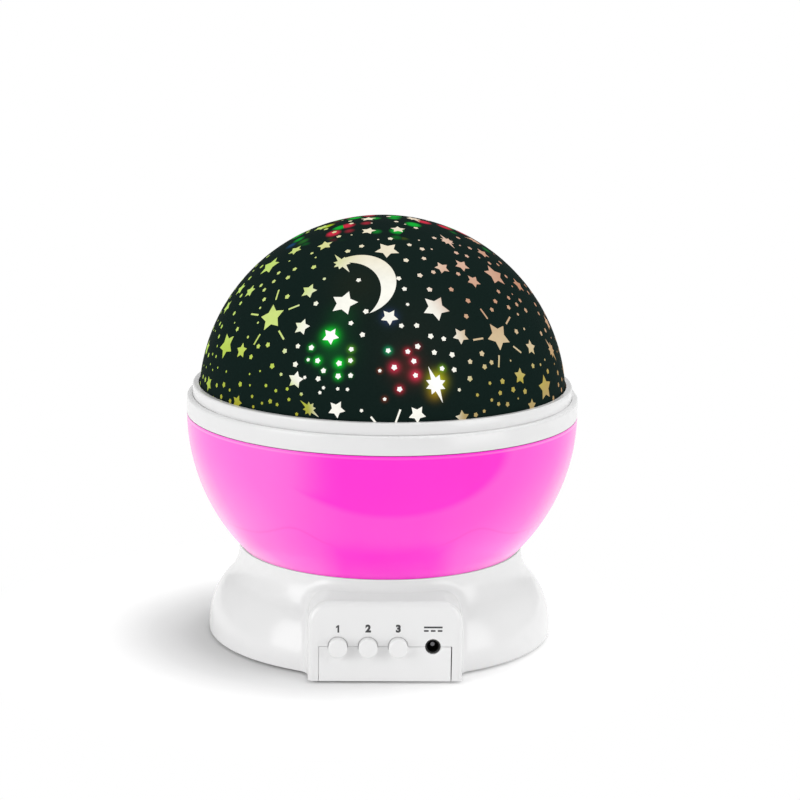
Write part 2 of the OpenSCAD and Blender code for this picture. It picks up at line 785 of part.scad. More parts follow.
// star windows: turn from the front, height angle, size, own turn, rays
stars = [
  [-17.5, 41, 4.4, 27, 5], [18.5, 39.5, 4.5, 1, 5], [0, 63, 4, 68, 5], [-20, 30, 2.8, 12, 5],
  [0.3, 36.8, 2.8, 3, 5], [-31.5, 32, 2.8, 31, 5], [-34.5, 44, 2.8, 33, 5], [25.5, 30, 2.8, 62, 5],
  [-29.5, 16, 2.8, 30, 5], [-15.5, 8.5, 2.8, 9, 5], [8.5, 7.5, 2.8, 2, 5], [46, 15.5, 2.7, 22, 5],
  [55.5, 23, 2.6, 21, 5], [-54.5, 21.5, 2.6, 44, 5], [-68.5, 39.5, 2.5, 54, 5], [-80, 38.5, 2.6, 62, 5],
  [29, 54, 2.6, 44, 5], [42, 54, 2.7, 51, 5], [42, 47.5, 2.6, 54, 5], [59, 48, 4.4, 19, 5],
  [73, 42, 2.9, 19, 5], [70.5, 56.5, 2.6, 21, 5], [-20, 74, 2.5, 36, 5], [14.5, 75.5, 2.5, 24, 5],
  [-45.5, 63, 2.7, 8, 5], [-65, 58, 2.6, 45, 5], [-71, 49.5, 4.1, 59, 5], [-86, 70, 2.7, 10, 5],
  [-60, 84, 2.6, 20, 5], [-81.5, 31.5, 2.6, 20, 5], [-84, 17, 2.8, 50, 5], [80, 27, 2.8, 33, 5],
  [84, 11, 2.6, 9, 5], [-51.5, 6.2, 2.4, 20, 5], [22.5, 5.8, 2.4, 40, 5], [50, 6, 2.2, 30, 5],
  [-46, 33.5, 4.7, 60, 5], [41, 28.5, 4.7, 58, 5], [-25, 56, 2.9, 47, 8], [14.5, 16, 3.3, 19, 8],
  [51.5, 65.5, 2.4, 344, 8], [88, 61, 2.6, 35, 8], [92, 81, 2.6, 292, 8], [-24, 8, 2.2, 55, 8],
  [-104, 46, 3.4, 20, 5], [100, 15, 3, 20, 5], [107, 38, 4.2, 8, 5], [128, 24, 3, 50, 5],
  [130, 54, 3.4, 31, 5], [150, 12, 2.8, 9, 5], [152, 36, 4.2, 44, 5], [186, 22, 3.2, 12, 5],
  [207, 50, 4.2, 22, 5], [208, 14, 2.8, 40, 5], [232, 33, 2.8, 5, 8], [250, 16, 3, 60, 5],
  [180, 72, 3.4, 50, 5]];
// moon windows: turn from the front, height angle, size, own turn
moons = [[-14, 48.5, 12.4, 312], [178, 48, 11, 160]];

module star_shape(r, rays) {
  notch = rays > 5 ? 0.62 : 0.53;
  long_ray = rays > 5 ? 1.85 : 1;
  polygon([for (i = [0:2 * rays - 1])
    let (q = i % 2 == 1 ? r * notch : i % rays == 0 ? r * long_ray : r)
      [q * cos(180 / rays * i), q * sin(180 / rays * i)]]);
}

module moon_shape(r) {
  difference() {
    circle(r, $fn = 72);
    translate([r * 0.45, 0]) circle(r * 0.99, $fn = 72);
  }
}

module on_dome(turn, rise, spin) {
  translate([0, 0, dome_c]) rotate([0, 0, turn - 90]) rotate([0, 90 - rise, 0])
    translate([0, 0, dome_r - 5]) rotate([0, 0, spin]) linear_extrude(height = 8) children();
}

module star_mask() {
  color([0.05, 0.07, 0.06]) lift() difference() {
    translate([0, 0, dome_c]) sphere(dome_r, $fn = fine);
    translate([0, 0, dome_c]) sphere(mask_in, $fn = fine);
    translate([0, 0, edge_z - 2 * dome_r]) cylinder(h = 2 * dome_r, r = 2 * dome_r);
    for (s = stars)
      on_dome(s[0], s[1], s[3]) star_shape(s[2] * star_scale, s[4]);
    for (m = moons)
      on_dome(m[0], m[1], m[3]) moon_shape(m[2] * star_scale);
  }
}

// ---- wires ----

module wire(points) {
  for (i = [1:len(points) - 1]) {
    d = points[i] - points[i - 1];
    translate(points[i - 1]) rotate([0, acos(d[2] / norm(d)), atan2(d[1], d[0])])
      cylinder(h = norm(d), r = wire_r, $fn = 24);
    if (i < len(points) - 1)
      translate(points[i]) sphere(wire_r + 0.08, $fn = 24);
  }
}

module light_leads() {
  color("firebrick") lift() for (x = [-1.1, 1.1])
    wire([[x, board_y + board_t, wire_z - 3], [x, board_y + board_t + 2, wire_z - 3],
      [x, board_y + board_t + 6, wire_z], [x, wire_y, wire_z], [x, wire_y, mouth_z - 12],
      [x, 0, mouth_z - 5], [x, 0, tower_top]]);
}

module motor_leads() {
  color("darkblue") lift() for (x = [-2.9, 2.9])
    wire([[x, board_y + board_t, wire_z - 3], [x, board_y + board_t + 2, wire_z - 3],
      [x, board_y + board_t + 6, wire_z], [x, wire_y, wire_z], [x, wire_y, floor_z + 8],
      [2.2 * x, motor_y, motor_z - 6], [2.2 * x, motor_y, motor_z]]);
}

base_shell();
bottom_cover();
feet();
battery_door();
battery_cells();
contact_plates();
contact_springs();
base_screws();
button_1();
button_2();
button_3();
plunger_1();
plunger_2();
plunger_3();
switch_bodies();
control_board();
board_parts();
dc_jack();
jack_pin();
bowl();
bowl_screws();
rim_ring();
deck();
deck_screws();
turntable();
pinion();
motor_shaft();
gearbox();
motor_can();
motor_screws();
light_tower();
tower_screws();
led_board();
led_screws();
led_warm();
led_red();
led_green();
led_blue();
dome_collar();
dome_cover();
star_mask();
light_leads();
motor_leads();
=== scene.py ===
"""Looks of the star night light: dark star dome, white rings, pink bowl, white base with its panel."""
import math

import bmesh
import bpy
import numpy as np
from mathutils import Matrix, Vector


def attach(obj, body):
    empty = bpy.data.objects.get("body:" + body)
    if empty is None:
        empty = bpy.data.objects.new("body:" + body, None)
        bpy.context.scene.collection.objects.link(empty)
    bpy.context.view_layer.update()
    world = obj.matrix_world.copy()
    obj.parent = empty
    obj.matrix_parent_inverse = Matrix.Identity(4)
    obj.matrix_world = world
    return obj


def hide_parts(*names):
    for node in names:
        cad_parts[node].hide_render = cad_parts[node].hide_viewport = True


MM = 0.001
FOOT = 0.8                      # the base's lower edge above the floor
DOME_R = 60.07                  # outer radius of the star dome
DOME_Z = 77.4 + FOOT            # middle of the dome's ball
DOME_EDGE = 80.7 + FOOT         # lower edge of the star dome
SHELL_WALL = 0.66               # thickness of the star dome's shell
WINDOW_STEP = 1.2               # edges longer than this are cut before a window is pressed onto the dome
WINDOW_OUT, SMALL_OUT = 0.025, 0.03               # how far the large and the small windows stand out
WINDOW_END = 0.1                # windows end this far above the shell's edge
BOWL_R = 64.0
BOWL_WALL = 2.0
MOUTH_Z = 73.3 + FOOT           # the bowl's upper edge and the middle of its ball
FLOOR_Z = 19.0 + FOOT           # underside of the bowl's flat floor
COLLAR_Z = 79.5 + FOOT          # underside of the upper ring
COLLAR_SINK = 0.28              # how far its outer edge is let down, which closes the seam
PANEL_Y = -60.0                 # the panel's face
PANEL_HALF = 24.125
PANEL_TOP = 25.6
PANEL_CORNER = 7.0
PANEL_EDGE = 1.8                # rounding round the panel's face
PANEL_BLEND = 3.0               # softness of the join between panel block and flare
PANEL_CUT = (PANEL_Y - 6, PANEL_Y + 3.4)          # the panel's cut-out reaches from one of these to the other
SEAM = 11.3                     # height of the seam across the panel, above the base's edge
SEAM_Z = SEAM + FOOT
TONGUE_HALF = 20.825            # half width of the bottom cover's tongue in the panel
BUTTONS_X = (-14.825, -5.425, 3.975)
BUTTON_HOLE = 3.15
JACK_X = 14.825
JACK_HOLE = 2.45
MARKS_Z = 17.0 + FOOT
BASE_WALL = 2.2
SKIN_RING = 38.0                # rays to the base's skin start on a ring of this radius
FLARE_C, FLARE_Z, FLARE_R = 33.9, 2.0, 22.8       # the flare's outward curve: middle and radius
NECK_R, NECK_Z, NECK_TOP = 46.8, 27.0, 28.9
NECK_CURVE = 13.716                               # radius of the inward curve under the neck
CUP_R, CUP_WALL, CUP_TOP = 64.25, 2.0, 23.6       # the bowl's seat, and how high its outside is free
CUP_HUB = 4.0                                     # radius of the opening in the seat's floor
LIP_CLOSER = 0.22                                 # the neck's lip nearly touches the bowl
POSTS = [(sx * 38, sy * 28) for sx in (-1, 1) for sy in (-1, 1)]
POST_R, POST_BORE, POST_LOW, POST_TOP = 3.2, 1.15, 3.0 + FOOT, 15.0 + FOOT
BASE_EDGE = 56.5                                  # radius of the base's foot on the floor
SHORT_SHADOW_SIDE = (0.92, 0.39, 0.0)                    # on this side the painted floor shadow ends and the floor turns white sooner
LENS_FOOT, LENS_TALL = 86 + FOOT, 8.0             # a lamp's lens brightens from here, over this height
LENS_GLOW = 3.0
RIB_DROP = 32.0                                   # drop of the painted shadow line of an inner rib that shows faintly through the bowl's wall
ON_AXIS = 1e-6                                    # a lathed point nearer to its axis makes no face there
FRAME_PX = 800                                    # the picture's width, for the camera's lens and shift

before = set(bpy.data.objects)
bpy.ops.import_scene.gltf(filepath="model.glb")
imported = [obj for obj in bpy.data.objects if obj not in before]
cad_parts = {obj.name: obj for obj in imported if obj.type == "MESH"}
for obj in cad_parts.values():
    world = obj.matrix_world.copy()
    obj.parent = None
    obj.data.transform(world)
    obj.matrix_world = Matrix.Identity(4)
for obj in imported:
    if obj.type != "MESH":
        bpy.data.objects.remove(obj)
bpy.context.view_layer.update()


def carry(o, body, instead_of=None):
    """Puts a piece on its body, and hides the CAD node that it replaces."""
    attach(o, body)
    if instead_of:
        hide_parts(instead_of)


def new_object(name, data):
    """A new object in the scene, at the origin."""
    o = bpy.data.objects.new(name, data)
    bpy.context.collection.objects.link(o)
    return o


# ---------------------------------------------------------------- camera and lights

def make_camera():
    """The camera looks from the front, a little above, with a slight roll."""
    turn, rise, roll = (math.radians(v) for v in (-1.9, 12.4, 0.77))
    distance, lens_px, shift_px = 850 * MM, 2587.0, 17.7
    aim = Vector((0, 0, (76.7 + FOOT) * MM))
    back = Vector((math.sin(turn) * math.cos(rise), -math.cos(turn) * math.cos(rise), math.sin(rise)))
    right = Vector((math.cos(turn), math.sin(turn), 0))
    up = back.cross(right)
    right, up = (right * math.cos(roll) + up * math.sin(roll),
                 up * math.cos(roll) - right * math.sin(roll))
    data = bpy.data.cameras.new("camera")
    data.sensor_width = 36
    data.lens = lens_px / FRAME_PX * data.sensor_width
    data.shift_x = shift_px / FRAME_PX
    data.clip_start = 0.05
    data.clip_end = 20
    place = Matrix((right, up, back)).transposed().to_4x4()
    place.translation = aim + back * distance
    cam = new_object("camera", data)
    cam.matrix_world = place
    bpy.context.scene.camera = cam


def area_light(name, place, aim, size, power, size_y=None):
    """A soft box that points at a place, square or of another height."""
    data = bpy.data.lights.new(name, "AREA")
    data.energy = power
    data.size = size
    if size_y:
        data.shape = "RECTANGLE"
        data.size_y = size_y
    light = new_object(name, data)
    light.location = place
    light.rotation_euler = (Vector(aim) - Vector(place)).to_track_quat("-Z", "Y").to_euler()


# ---------------------------------------------------------------- shader helpers

class Tree:
    """A short way to place and join nodes."""

    def __init__(self, tree):
        self.t = tree

    def add(self, kind, ins=None, **props):
        """A node with its inputs and settings; a shader node's kind is given without its prefix."""
        n = self.t.nodes.new(kind if "Node" in kind else "ShaderNode" + kind)
        for k, v in props.items():
            setattr(n, k, v)
        for k, v in (ins or {}).items():
            self.put(n, k, v)
        return n

    def put(self, n, key, value):
        """Joins or sets an input; a colour may be given without its alpha."""
        socket = n.inputs[key]
        if isinstance(value, bpy.types.NodeSocket):
            self.t.links.new(value, socket)
        elif isinstance(value, bpy.types.Node):
            self.t.links.new(value.outputs[0], socket)
        elif socket.type == "RGBA":
            socket.default_value = (*value[:3], 1)
        else:
            socket.default_value = value

    def math(self, op, a, b=0.0, clamp=False):
        """A sum on two values; its common kinds have short names below."""
        n = self.add("Math", operation=op, use_clamp=clamp)
        self.put(n, 0, a)
        self.put(n, 1, b)
        return n.outputs[0]

    def plus(self, a, b, clamp=False):
        return self.math("ADD", a, b, clamp)

    def less(self, a, b, clamp=False):
        return self.math("SUBTRACT", a, b, clamp)

    def times(self, a, b, clamp=False):
        return self.math("MULTIPLY", a, b, clamp)

    def over(self, a, b):
        return self.math("DIVIDE", a, b)

    def most(self, a, b):
        return self.math("MAXIMUM", a, b)

    def smooth(self, value, start, end, low=0.0, high=1.0):
        """A soft step from low to high while the value goes from start to end."""
        return self.add("MapRange", {"Value": value, 1: start, 2: end, 3: low, 4: high},
                        interpolation_type="SMOOTHSTEP").outputs[0]

    def where(self):
        """The place on the piece, in object coordinates."""
        return self.add("TexCoord").outputs["Object"]

    def axes(self, place):
        return self.add("SeparateXYZ", {0: place}).outputs

    def noise(self, place, scale, detail=2.0, **more):
        ins = {"Vector": place, "Scale": scale, "Detail": detail, **more}
        return self.add("TexNoise", ins).outputs["Fac"]

    def bump(self, shader, height, distance, strength=1.0):
        """Raises a shader's surface by a height, with the distance in mm."""
        n = self.add("Bump", {"Height": height, "Strength": strength, "Distance": distance * MM})
        self.put(shader, "Normal", n)

    def group(self, tree, **ins):
        """Places a node group and gives its outputs."""
        n = self.add("Group", node_tree=tree)
        for k, v in ins.items():
            self.put(n, k, v)
        return n.outputs

    def scaled(self, vector, factor):
        return self.add("VectorMath", {0: vector, "Scale": factor}, operation="SCALE").outputs[0]

    def vec(self, op, a, b=None, out=0):
        n = self.add("VectorMath", operation=op)
        self.put(n, 0, a)
        if b is not None:
            self.put(n, 1, b)
        return n.outputs[out]

    def mix(self, fac, a, b, blend="MIX"):
        n = self.add("Mix", data_type="RGBA", blend_type=blend)
        self.put(n, 0, fac)
        self.put(n, 6, a)
        self.put(n, 7, b)
        return n.outputs[2]

    def ramp(self, fac, stops, mode="LINEAR"):
        n = self.add("ValToRGB", {"Fac": fac})
        n.color_ramp.interpolation = mode
        els = n.color_ramp.elements
        while len(els) < len(stops):
            els.new(0.5)
        for el, (pos, col) in zip(els, stops):
            el.position = pos
            el.color = (*col, 1)
        return n.outputs[0]


def new_material(name):
    """A new material, its tree and its shader."""
    m = bpy.data.materials.new(name)
    m.use_nodes = True
    return m, Tree(m.node_tree), m.node_tree.nodes["Principled BSDF"]


def setup(shader, **values):
    """Sets plain numbers and colours on the shader's own sockets."""
    names = {"color": "Base Color", "rough": "Roughness", "metal": "Metallic", "coat": "Coat Weight",
             "coat_rough": "Coat Roughness", "spec": "Specular IOR Level", "glow": "Emission Strength"}
    for k, v in values.items():
        shader.inputs[names[k]].default_value = (*v, 1) if k == "color" else v


def new_inputs(g, inputs):
    """Gives a group its named inputs (name, kind, value) and returns their identifiers."""
    ids = {}
    for n, kind, value in inputs:
        socket = g.interface.new_socket(n, in_out="INPUT", socket_type="NodeSocket" + kind)
        ids[n] = socket.identifier
        if value is not None:
            socket.default_value = value
    return ids


def new_group(name, inputs, outputs):
    """A shader node group with named inputs (name, kind, value) and outputs (name, kind)."""
    g = bpy.data.node_groups.new(name, "ShaderNodeTree")
    new_inputs(g, inputs)
    for n, kind in outputs:
        g.interface.new_socket(n, in_out="OUTPUT", socket_type="NodeSocket" + kind)
    t = Tree(g)
    return g, t, t.add("NodeGroupInput").outputs, t.add("NodeGroupOutput")


def moulding_group():
    """Injection-moulded plastic: faint flow marks, a fine grain and a few dust specks."""
    g, t, i, o = new_group("moulded_surface", [
        ("Color", "Color", (0.8, 0.8, 0.8, 1)), ("Variation", "Float", 0.03),
        ("Roughness", "Float", 0.3), ("Grain", "Float", 0.05)
    ], [("Color", "Color"), ("Roughness", "Float"), ("Height", "Float")])
    where = t.where()
    swing = t.less(t.noise(where, 30.0, 1.0), 0.5)
    fine = t.noise(where, 1400.0)
    dust = t.add("TexVoronoi", {"Vector": where, "Scale": 240.0})
    speck = t.less(1.0, t.times(dust.outputs["Distance"], 26.0, True), True)
    shade = t.less(t.plus(1.0, t.times(swing, i["Variation"])), t.times(speck, i["Variation"]))
    tone = t.add("CombineXYZ", {0: shade, 1: shade, 2: shade})
    t.put(o, "Color", t.mix(1.0, i["Color"], tone.outputs[0], "MULTIPLY"))
    t.put(o, "Roughness", t.plus(i["Roughness"], t.times(swing, 0.05), True))
    t.put(o, "Height", t.times(fine, i["Grain"]))
    return g


def plastic(name, color, rough=0.3, variation=0.04, grain=0.05, bump=0.02, **values):
    """A moulded plastic's material; bump is its grain's height in mm."""
    m, t, s = new_material(name)
    setup(s, **values)
    made = t.group(MOULDED, Color=color, Variation=variation, Roughness=rough, Grain=grain)
    t.put(s, "Base Color", made["Color"])
    t.put(s, "Roughness", made["Roughness"])
    t.bump(s, made["Height"], bump)
    return m


def metal(name, color, rough):
    """A plated metal with fine streaks that change its roughness, and duller spots."""
    m, t, s = new_material(name)
    setup(s, metal=1.0)
    where, spread = t.where(), 0.2
    streak = t.noise(where, 900.0, 3.0, Distortion=1.5)
    t.put(s, "Base Color", t.mix(t.noise(where, 160.0), [c * 0.8 for c in color], color))
    t.put(s, "Roughness", t.plus(rough - spread / 2, t.times(streak, spread), True))
    t.bump(s, streak, 0.01, 0.4)
    return m


# ---------------------------------------------------------------- window light

# colours of the lit windows from the dome's edge (0) to its crown (1), on the green and on the red lamp's side
GREEN_SIDE = [(0.08, (0.34, 0.30, 0.00)), (0.25, (0.47, 0.62, 0.05)), (0.36, (0.51, 0.64, 0.08)),
              (0.50, (0.60, 0.75, 0.20)), (0.80, (0.59, 0.70, 0.20)), (0.92, (0.68, 0.68, 0.28))]
RED_SIDE = [(0.08, (0.43, 0.30, 0.13)), (0.24, (0.44, 0.37, 0.04)), (0.40, (0.66, 0.53, 0.32)),
            (0.50, (0.62, 0.46, 0.27)), (0.64, (0.57, 0.30, 0.18)), (0.80, (0.67, 0.40, 0.28)),
            (0.92, (0.72, 0.48, 0.36))]
# share of the red side around the dome, from the back, left, front, right and back again
RED_SHARE = [(0.0, 0.5), (0.24, 0.0), (0.42, 0.0), (0.54, 1.0), (0.76, 1.0), (1.0, 0.5)]
WHITE_ZONE = (-4.0, 18.0, 27.0, 31.0)     # over the lamps: middle across and up, half width, half height
WHITE_RIM = (3.5, 6.0)                    # near the rim it moves right and is narrower by these
SIDE_TINTS = ((0.26, (0.40, 0.68, 0.05)), (0.735, (0.46, 0.17, 0.07)))   # place around the dome, colour
TINT_FADE = ((-0.08, 0.0), (-0.03, 0.6), (0.03, 0.6), (0.08, 0.0))        # distance from that place, share
# painted lamp glows on the dark shell, which also whiten the windows in front of the lamps: turn from the
# front, height angle, reach in mm, colour, strength
GREEN, LEAF, RED, ROSE = (0.0, 0.62, 0.02), (0.16, 0.60, 0.01), (0.52, 0.01, 0.04), (0.52, 0.015, 0.055)
GLOWS = [
    (-20, 30, 3.3, GREEN, 1.5), (-26, 26, 1.5, GREEN, 0.7), (-23, 22.3, 1.8, GREEN, 0.9),
    (-15.8, 22, 2.1, GREEN, 1.1), (-15.7, 18.2, 1.7, GREEN, 0.8), (-12.3, 26.4, 1.6, LEAF, 0.5),
    (-12.2, 23, 1.5, LEAF, 0.6), (-20.6, 19.5, 1.2, GREEN, 0.45), (-26.3, 22.3, 1.1, GREEN, 0.5),
    (-11.8, 18.6, 1.0, GREEN, 0.3), (-18.2, 25.5, 8.0, (0, 0.30, 0.03), 0.14),
    (-17.5, 36.5, 6.0, (0, 0.30, 0.03), 0.09), (-0.2, 26.3, 1.6, (0.0, 0.45, 0.16), 0.8),
    (1.7, 21.3, 2.2, ROSE, 1.1), (6.2, 26, 1.6, RED, 0.9), (8, 23.1, 1.8, ROSE, 0.9),
    (8.3, 18.9, 2.3, ROSE, 1.2), (3.3, 14.9, 1.7, RED, 0.9), (9.6, 27.5, 1.5, ROSE, 0.35),
    (-2.8, 20.3, 1.1, (0.5, 0.06, 0.01), 0.4), (-1.2, 12, 1.2, (0.4, 0.05, 0.01), 0.4),
    (6, 21, 7.0, (0.4, 0.03, 0.03), 0.10), (15.0, 17.0, 3.7, (0.46, 0.46, 0.0), 1.1),
    (14.0, 13.6, 3.0, (0.48, 0.28, 0.0), 0.45), (17, 20.6, 1.6, (0.2, 0.5, 0.0), 0.6),
    (0.3, 36.8, 3.2, (0.10, 0.16, 0.55), 0.20), (-14, 48, 13.0, (0.10, 0.06, 0.0), 0.05),
    (10, 30, 22.0, (0.10, 0.06, 0.04), 0.04)]


def dome_point(turn, rise):
    """A point on the dome in mm: turn from the front (to the right) and height angle, in degrees."""
    a, b, r = math.radians(turn - 90), math.radians(rise), DOME_R
    return Vector((r * math.cos(b) * math.cos(a), r * math.cos(b) * math.sin(a), DOME_Z + r * math.sin(b)))


def spot_group():
    """One lamp's painted glow round a point, added to the glows before it."""
    g, t, i, o = new_group("painted_lamp_glow", [
        ("Centre", "Vector", (0, 0, 0)), ("Reach", "Float", 0.003),
        ("Color", "Color", (0, 1, 0, 1)), ("Strength", "Float", 1.0),
        ("Before", "Color", (0, 0, 0, 1))], [("Color", "Color")])
    q = t.over(t.vec("DISTANCE", t.where(), i["Centre"], out="Value"), i["Reach"])
    fall = t.math("EXPONENT", t.times(t.times(q, q), -2.0))
    t.put(o, "Color", t.mix(1.0, i["Before"], t.scaled(i["Color"], t.times(fall, i["Strength"])), "ADD"))
    return g


# the painted coloured light patches lie in two caps that lean together: tilt in degrees, edge above the ball's
# middle, fold
CROWN_TILT, CROWN_START, CROWN_FOLD = 22.0, 43.4, 10.0


def lamp_group():
    """All painted lamp glows together, with the painted coloured light patches round the crown."""
    g, t, _, o = new_group("painted_lamp_glows", [], [("Spots", "Color"), ("Crown", "Color")])
    spots = (0, 0, 0)
    for turn, rise, reach, color, strength in GLOWS:
        spots = t.group(SPOT, Centre=tuple(dome_point(turn, rise) * MM), Reach=reach * MM, Color=color,
                        Strength=strength, Before=spots)["Color"]
    t.put(o, "Spots", spots)
    # painted coloured light patches round the crown
    where = t.where()
    cells = t.add("TexVoronoi", {"Vector": where, "Scale": 165.0, "Randomness": 1.0})
    soft = t.smooth(cells.outputs["Distance"], 0.20, 0.52, 1.2, 0.0)
    pick = t.add("SeparateColor", {0: cells.outputs["Color"]})
    hue = t.ramp(pick.outputs[0], [(0.0, (0.50, 0.01, 0.04)), (0.26, (0.16, 0.01, 0.01)),
                                   (0.40, (0.0, 0.34, 0.02)), (0.66, (0.02, 0.16, 0.01)),
                                   (0.80, (0.01, 0.10, 0.30)), (0.90, (0.30, 0.42, 0.0))], "CONSTANT")
    on = t.math("GREATER_THAN", pick.outputs[1], 0.20)
    tilt = math.radians(CROWN_TILT)
    xyz = t.axes(where)
    fold = t.math("ABSOLUTE", t.less(xyz[1], CROWN_FOLD * MM))
    back = t.times(t.less(CROWN_FOLD * MM, fold), math.sin(tilt))
    along = t.plus(back, t.times(xyz[2], math.cos(tilt)))
    high = t.times(t.less(along, (DOME_Z * math.cos(tilt) + CROWN_START) * MM), 260.0, True)
    t.put(o, "Crown", t.scaled(hue, t.times(t.times(soft, on), high)))
    return g


def window_material():
    """The lit windows: a colour that changes round the dome, whiter over the lamps, golden near the rim."""
    m, t, s = new_material("window_light")
    where = t.where()
    x, y, z = t.axes(where)
    around = t.plus(t.over(t.math("ARCTAN2", x, t.times(y, -1.0)), 2 * math.pi), 0.5)
    height = t.over(t.less(z, DOME_Z * MM), DOME_R * MM)
    # the colour of the place
    share = t.ramp(around, [(u, (v, v, v)) for u, v in RED_SHARE])
    base = t.mix(share, t.ramp(height, GREEN_SIDE), t.ramp(height, RED_SIDE))
    for at, tint in SIDE_TINTS:
        base = t.mix(t.ramp(around, [(at + u, (v, v, v)) for u, v in TINT_FADE]), base, tint)
    # whiter over the lamps, and paler at the crown's middle
    across, up, half, tall = WHITE_ZONE
    aside = t.math("ABSOLUTE", x)
    shift, narrow = WHITE_RIM
    low = t.smooth(height, 0.15, 0.30, 1.0, 0.0)
    flat = t.less(x, t.plus(across * MM, t.times(low, shift * MM)))
    flat = t.over(flat, t.less(half * MM, t.times(low, narrow * MM)))
    rise = t.over(t.most(0.0, t.less(z, (DOME_Z + up) * MM)), tall * MM)
    near = t.smooth(t.plus(t.times(flat, flat), t.times(rise, rise)), 0.74, 1.36, 1.0, 0.0)
    front = t.add("MapRange", {"Value": y, 1: -12 * MM, 2: 12 * MM, 3: 1.0, 4: 0.5}).outputs[0]
    middle = t.less(1.0, t.times(t.less(aside, 6 * MM), 1 / (14 * MM), True))
    pale = t.times(t.less(height, 0.62), 5.0, True)
    base = t.mix(t.times(t.times(pale, middle), 0.9), base, (0.86, 0.79, 0.61))
    base = t.mix(t.times(near, front), base, (0.96, 0.95, 0.86))
    # white in front of a lamp, and mottled all over
    parts = t.add("SeparateColor", {0: t.group(LAMPS)["Spots"]}).outputs
    base = t.mix(t.times(t.most(parts[0], parts[1]), 2.6, True), base, (1.05, 1.05, 1.03))
    tone = t.plus(0.88, t.times(t.noise(where, 620.0, 3.0), 0.16))
    tone = t.times(tone, t.plus(0.93, t.times(t.noise(where, 130.0), 0.16)))
    t.put(s, "Emission Color", t.scaled(base, tone))
    setup(s, color=(0.02, 0.02, 0.02), rough=0.5, spec=0.1, glow=1.0)
    return m


def film_material():
    """The dark star shell: matt, near black with a green tint, with the lamps' glows and coloured light
    patches painted on it.
    """
    m, t, s = new_material("dark_shell")
    where = t.where()
    grain = t.noise(where, 1500.0, 3.0)
    cloud = t.noise(where, 60.0)
    tone = t.mix(grain, (0.0045, 0.0114, 0.0095), (0.0087, 0.0184, 0.0157))
    t.put(s, "Base Color", t.mix(t.times(cloud, 0.5), tone, (0.0065, 0.0157, 0.0135)))
    t.put(s, "Roughness", t.plus(0.45, t.times(grain, 0.25)))
    lamps = t.group(LAMPS)
    # painted glow: the lamps' halos and the crown's coloured light patches, as emission
    t.put(s, "Emission Color", t.mix(1.0, lamps["Spots"], lamps["Crown"], "ADD"))
    setup(s, spec=0.004, glow=1.0)
    t.bump(s, grain, 0.02, 0.5)
    return m


def lens_material(name, color):
    """A lamp's lens: bright at its tip, deeper at its foot."""
    m, t, s = new_material(name)
    z = t.axes(t.where())[2]
    top = t.times(t.less(z, LENS_FOOT * MM), 1 / (LENS_TALL * MM), True)
    setup(s, color=[c * 0.6 for c in color], rough=0.15, glow=LENS_GLOW)
    t.put(s, "Emission Color", t.mix(top, [c * 0.35 for c in color], color))
    return m


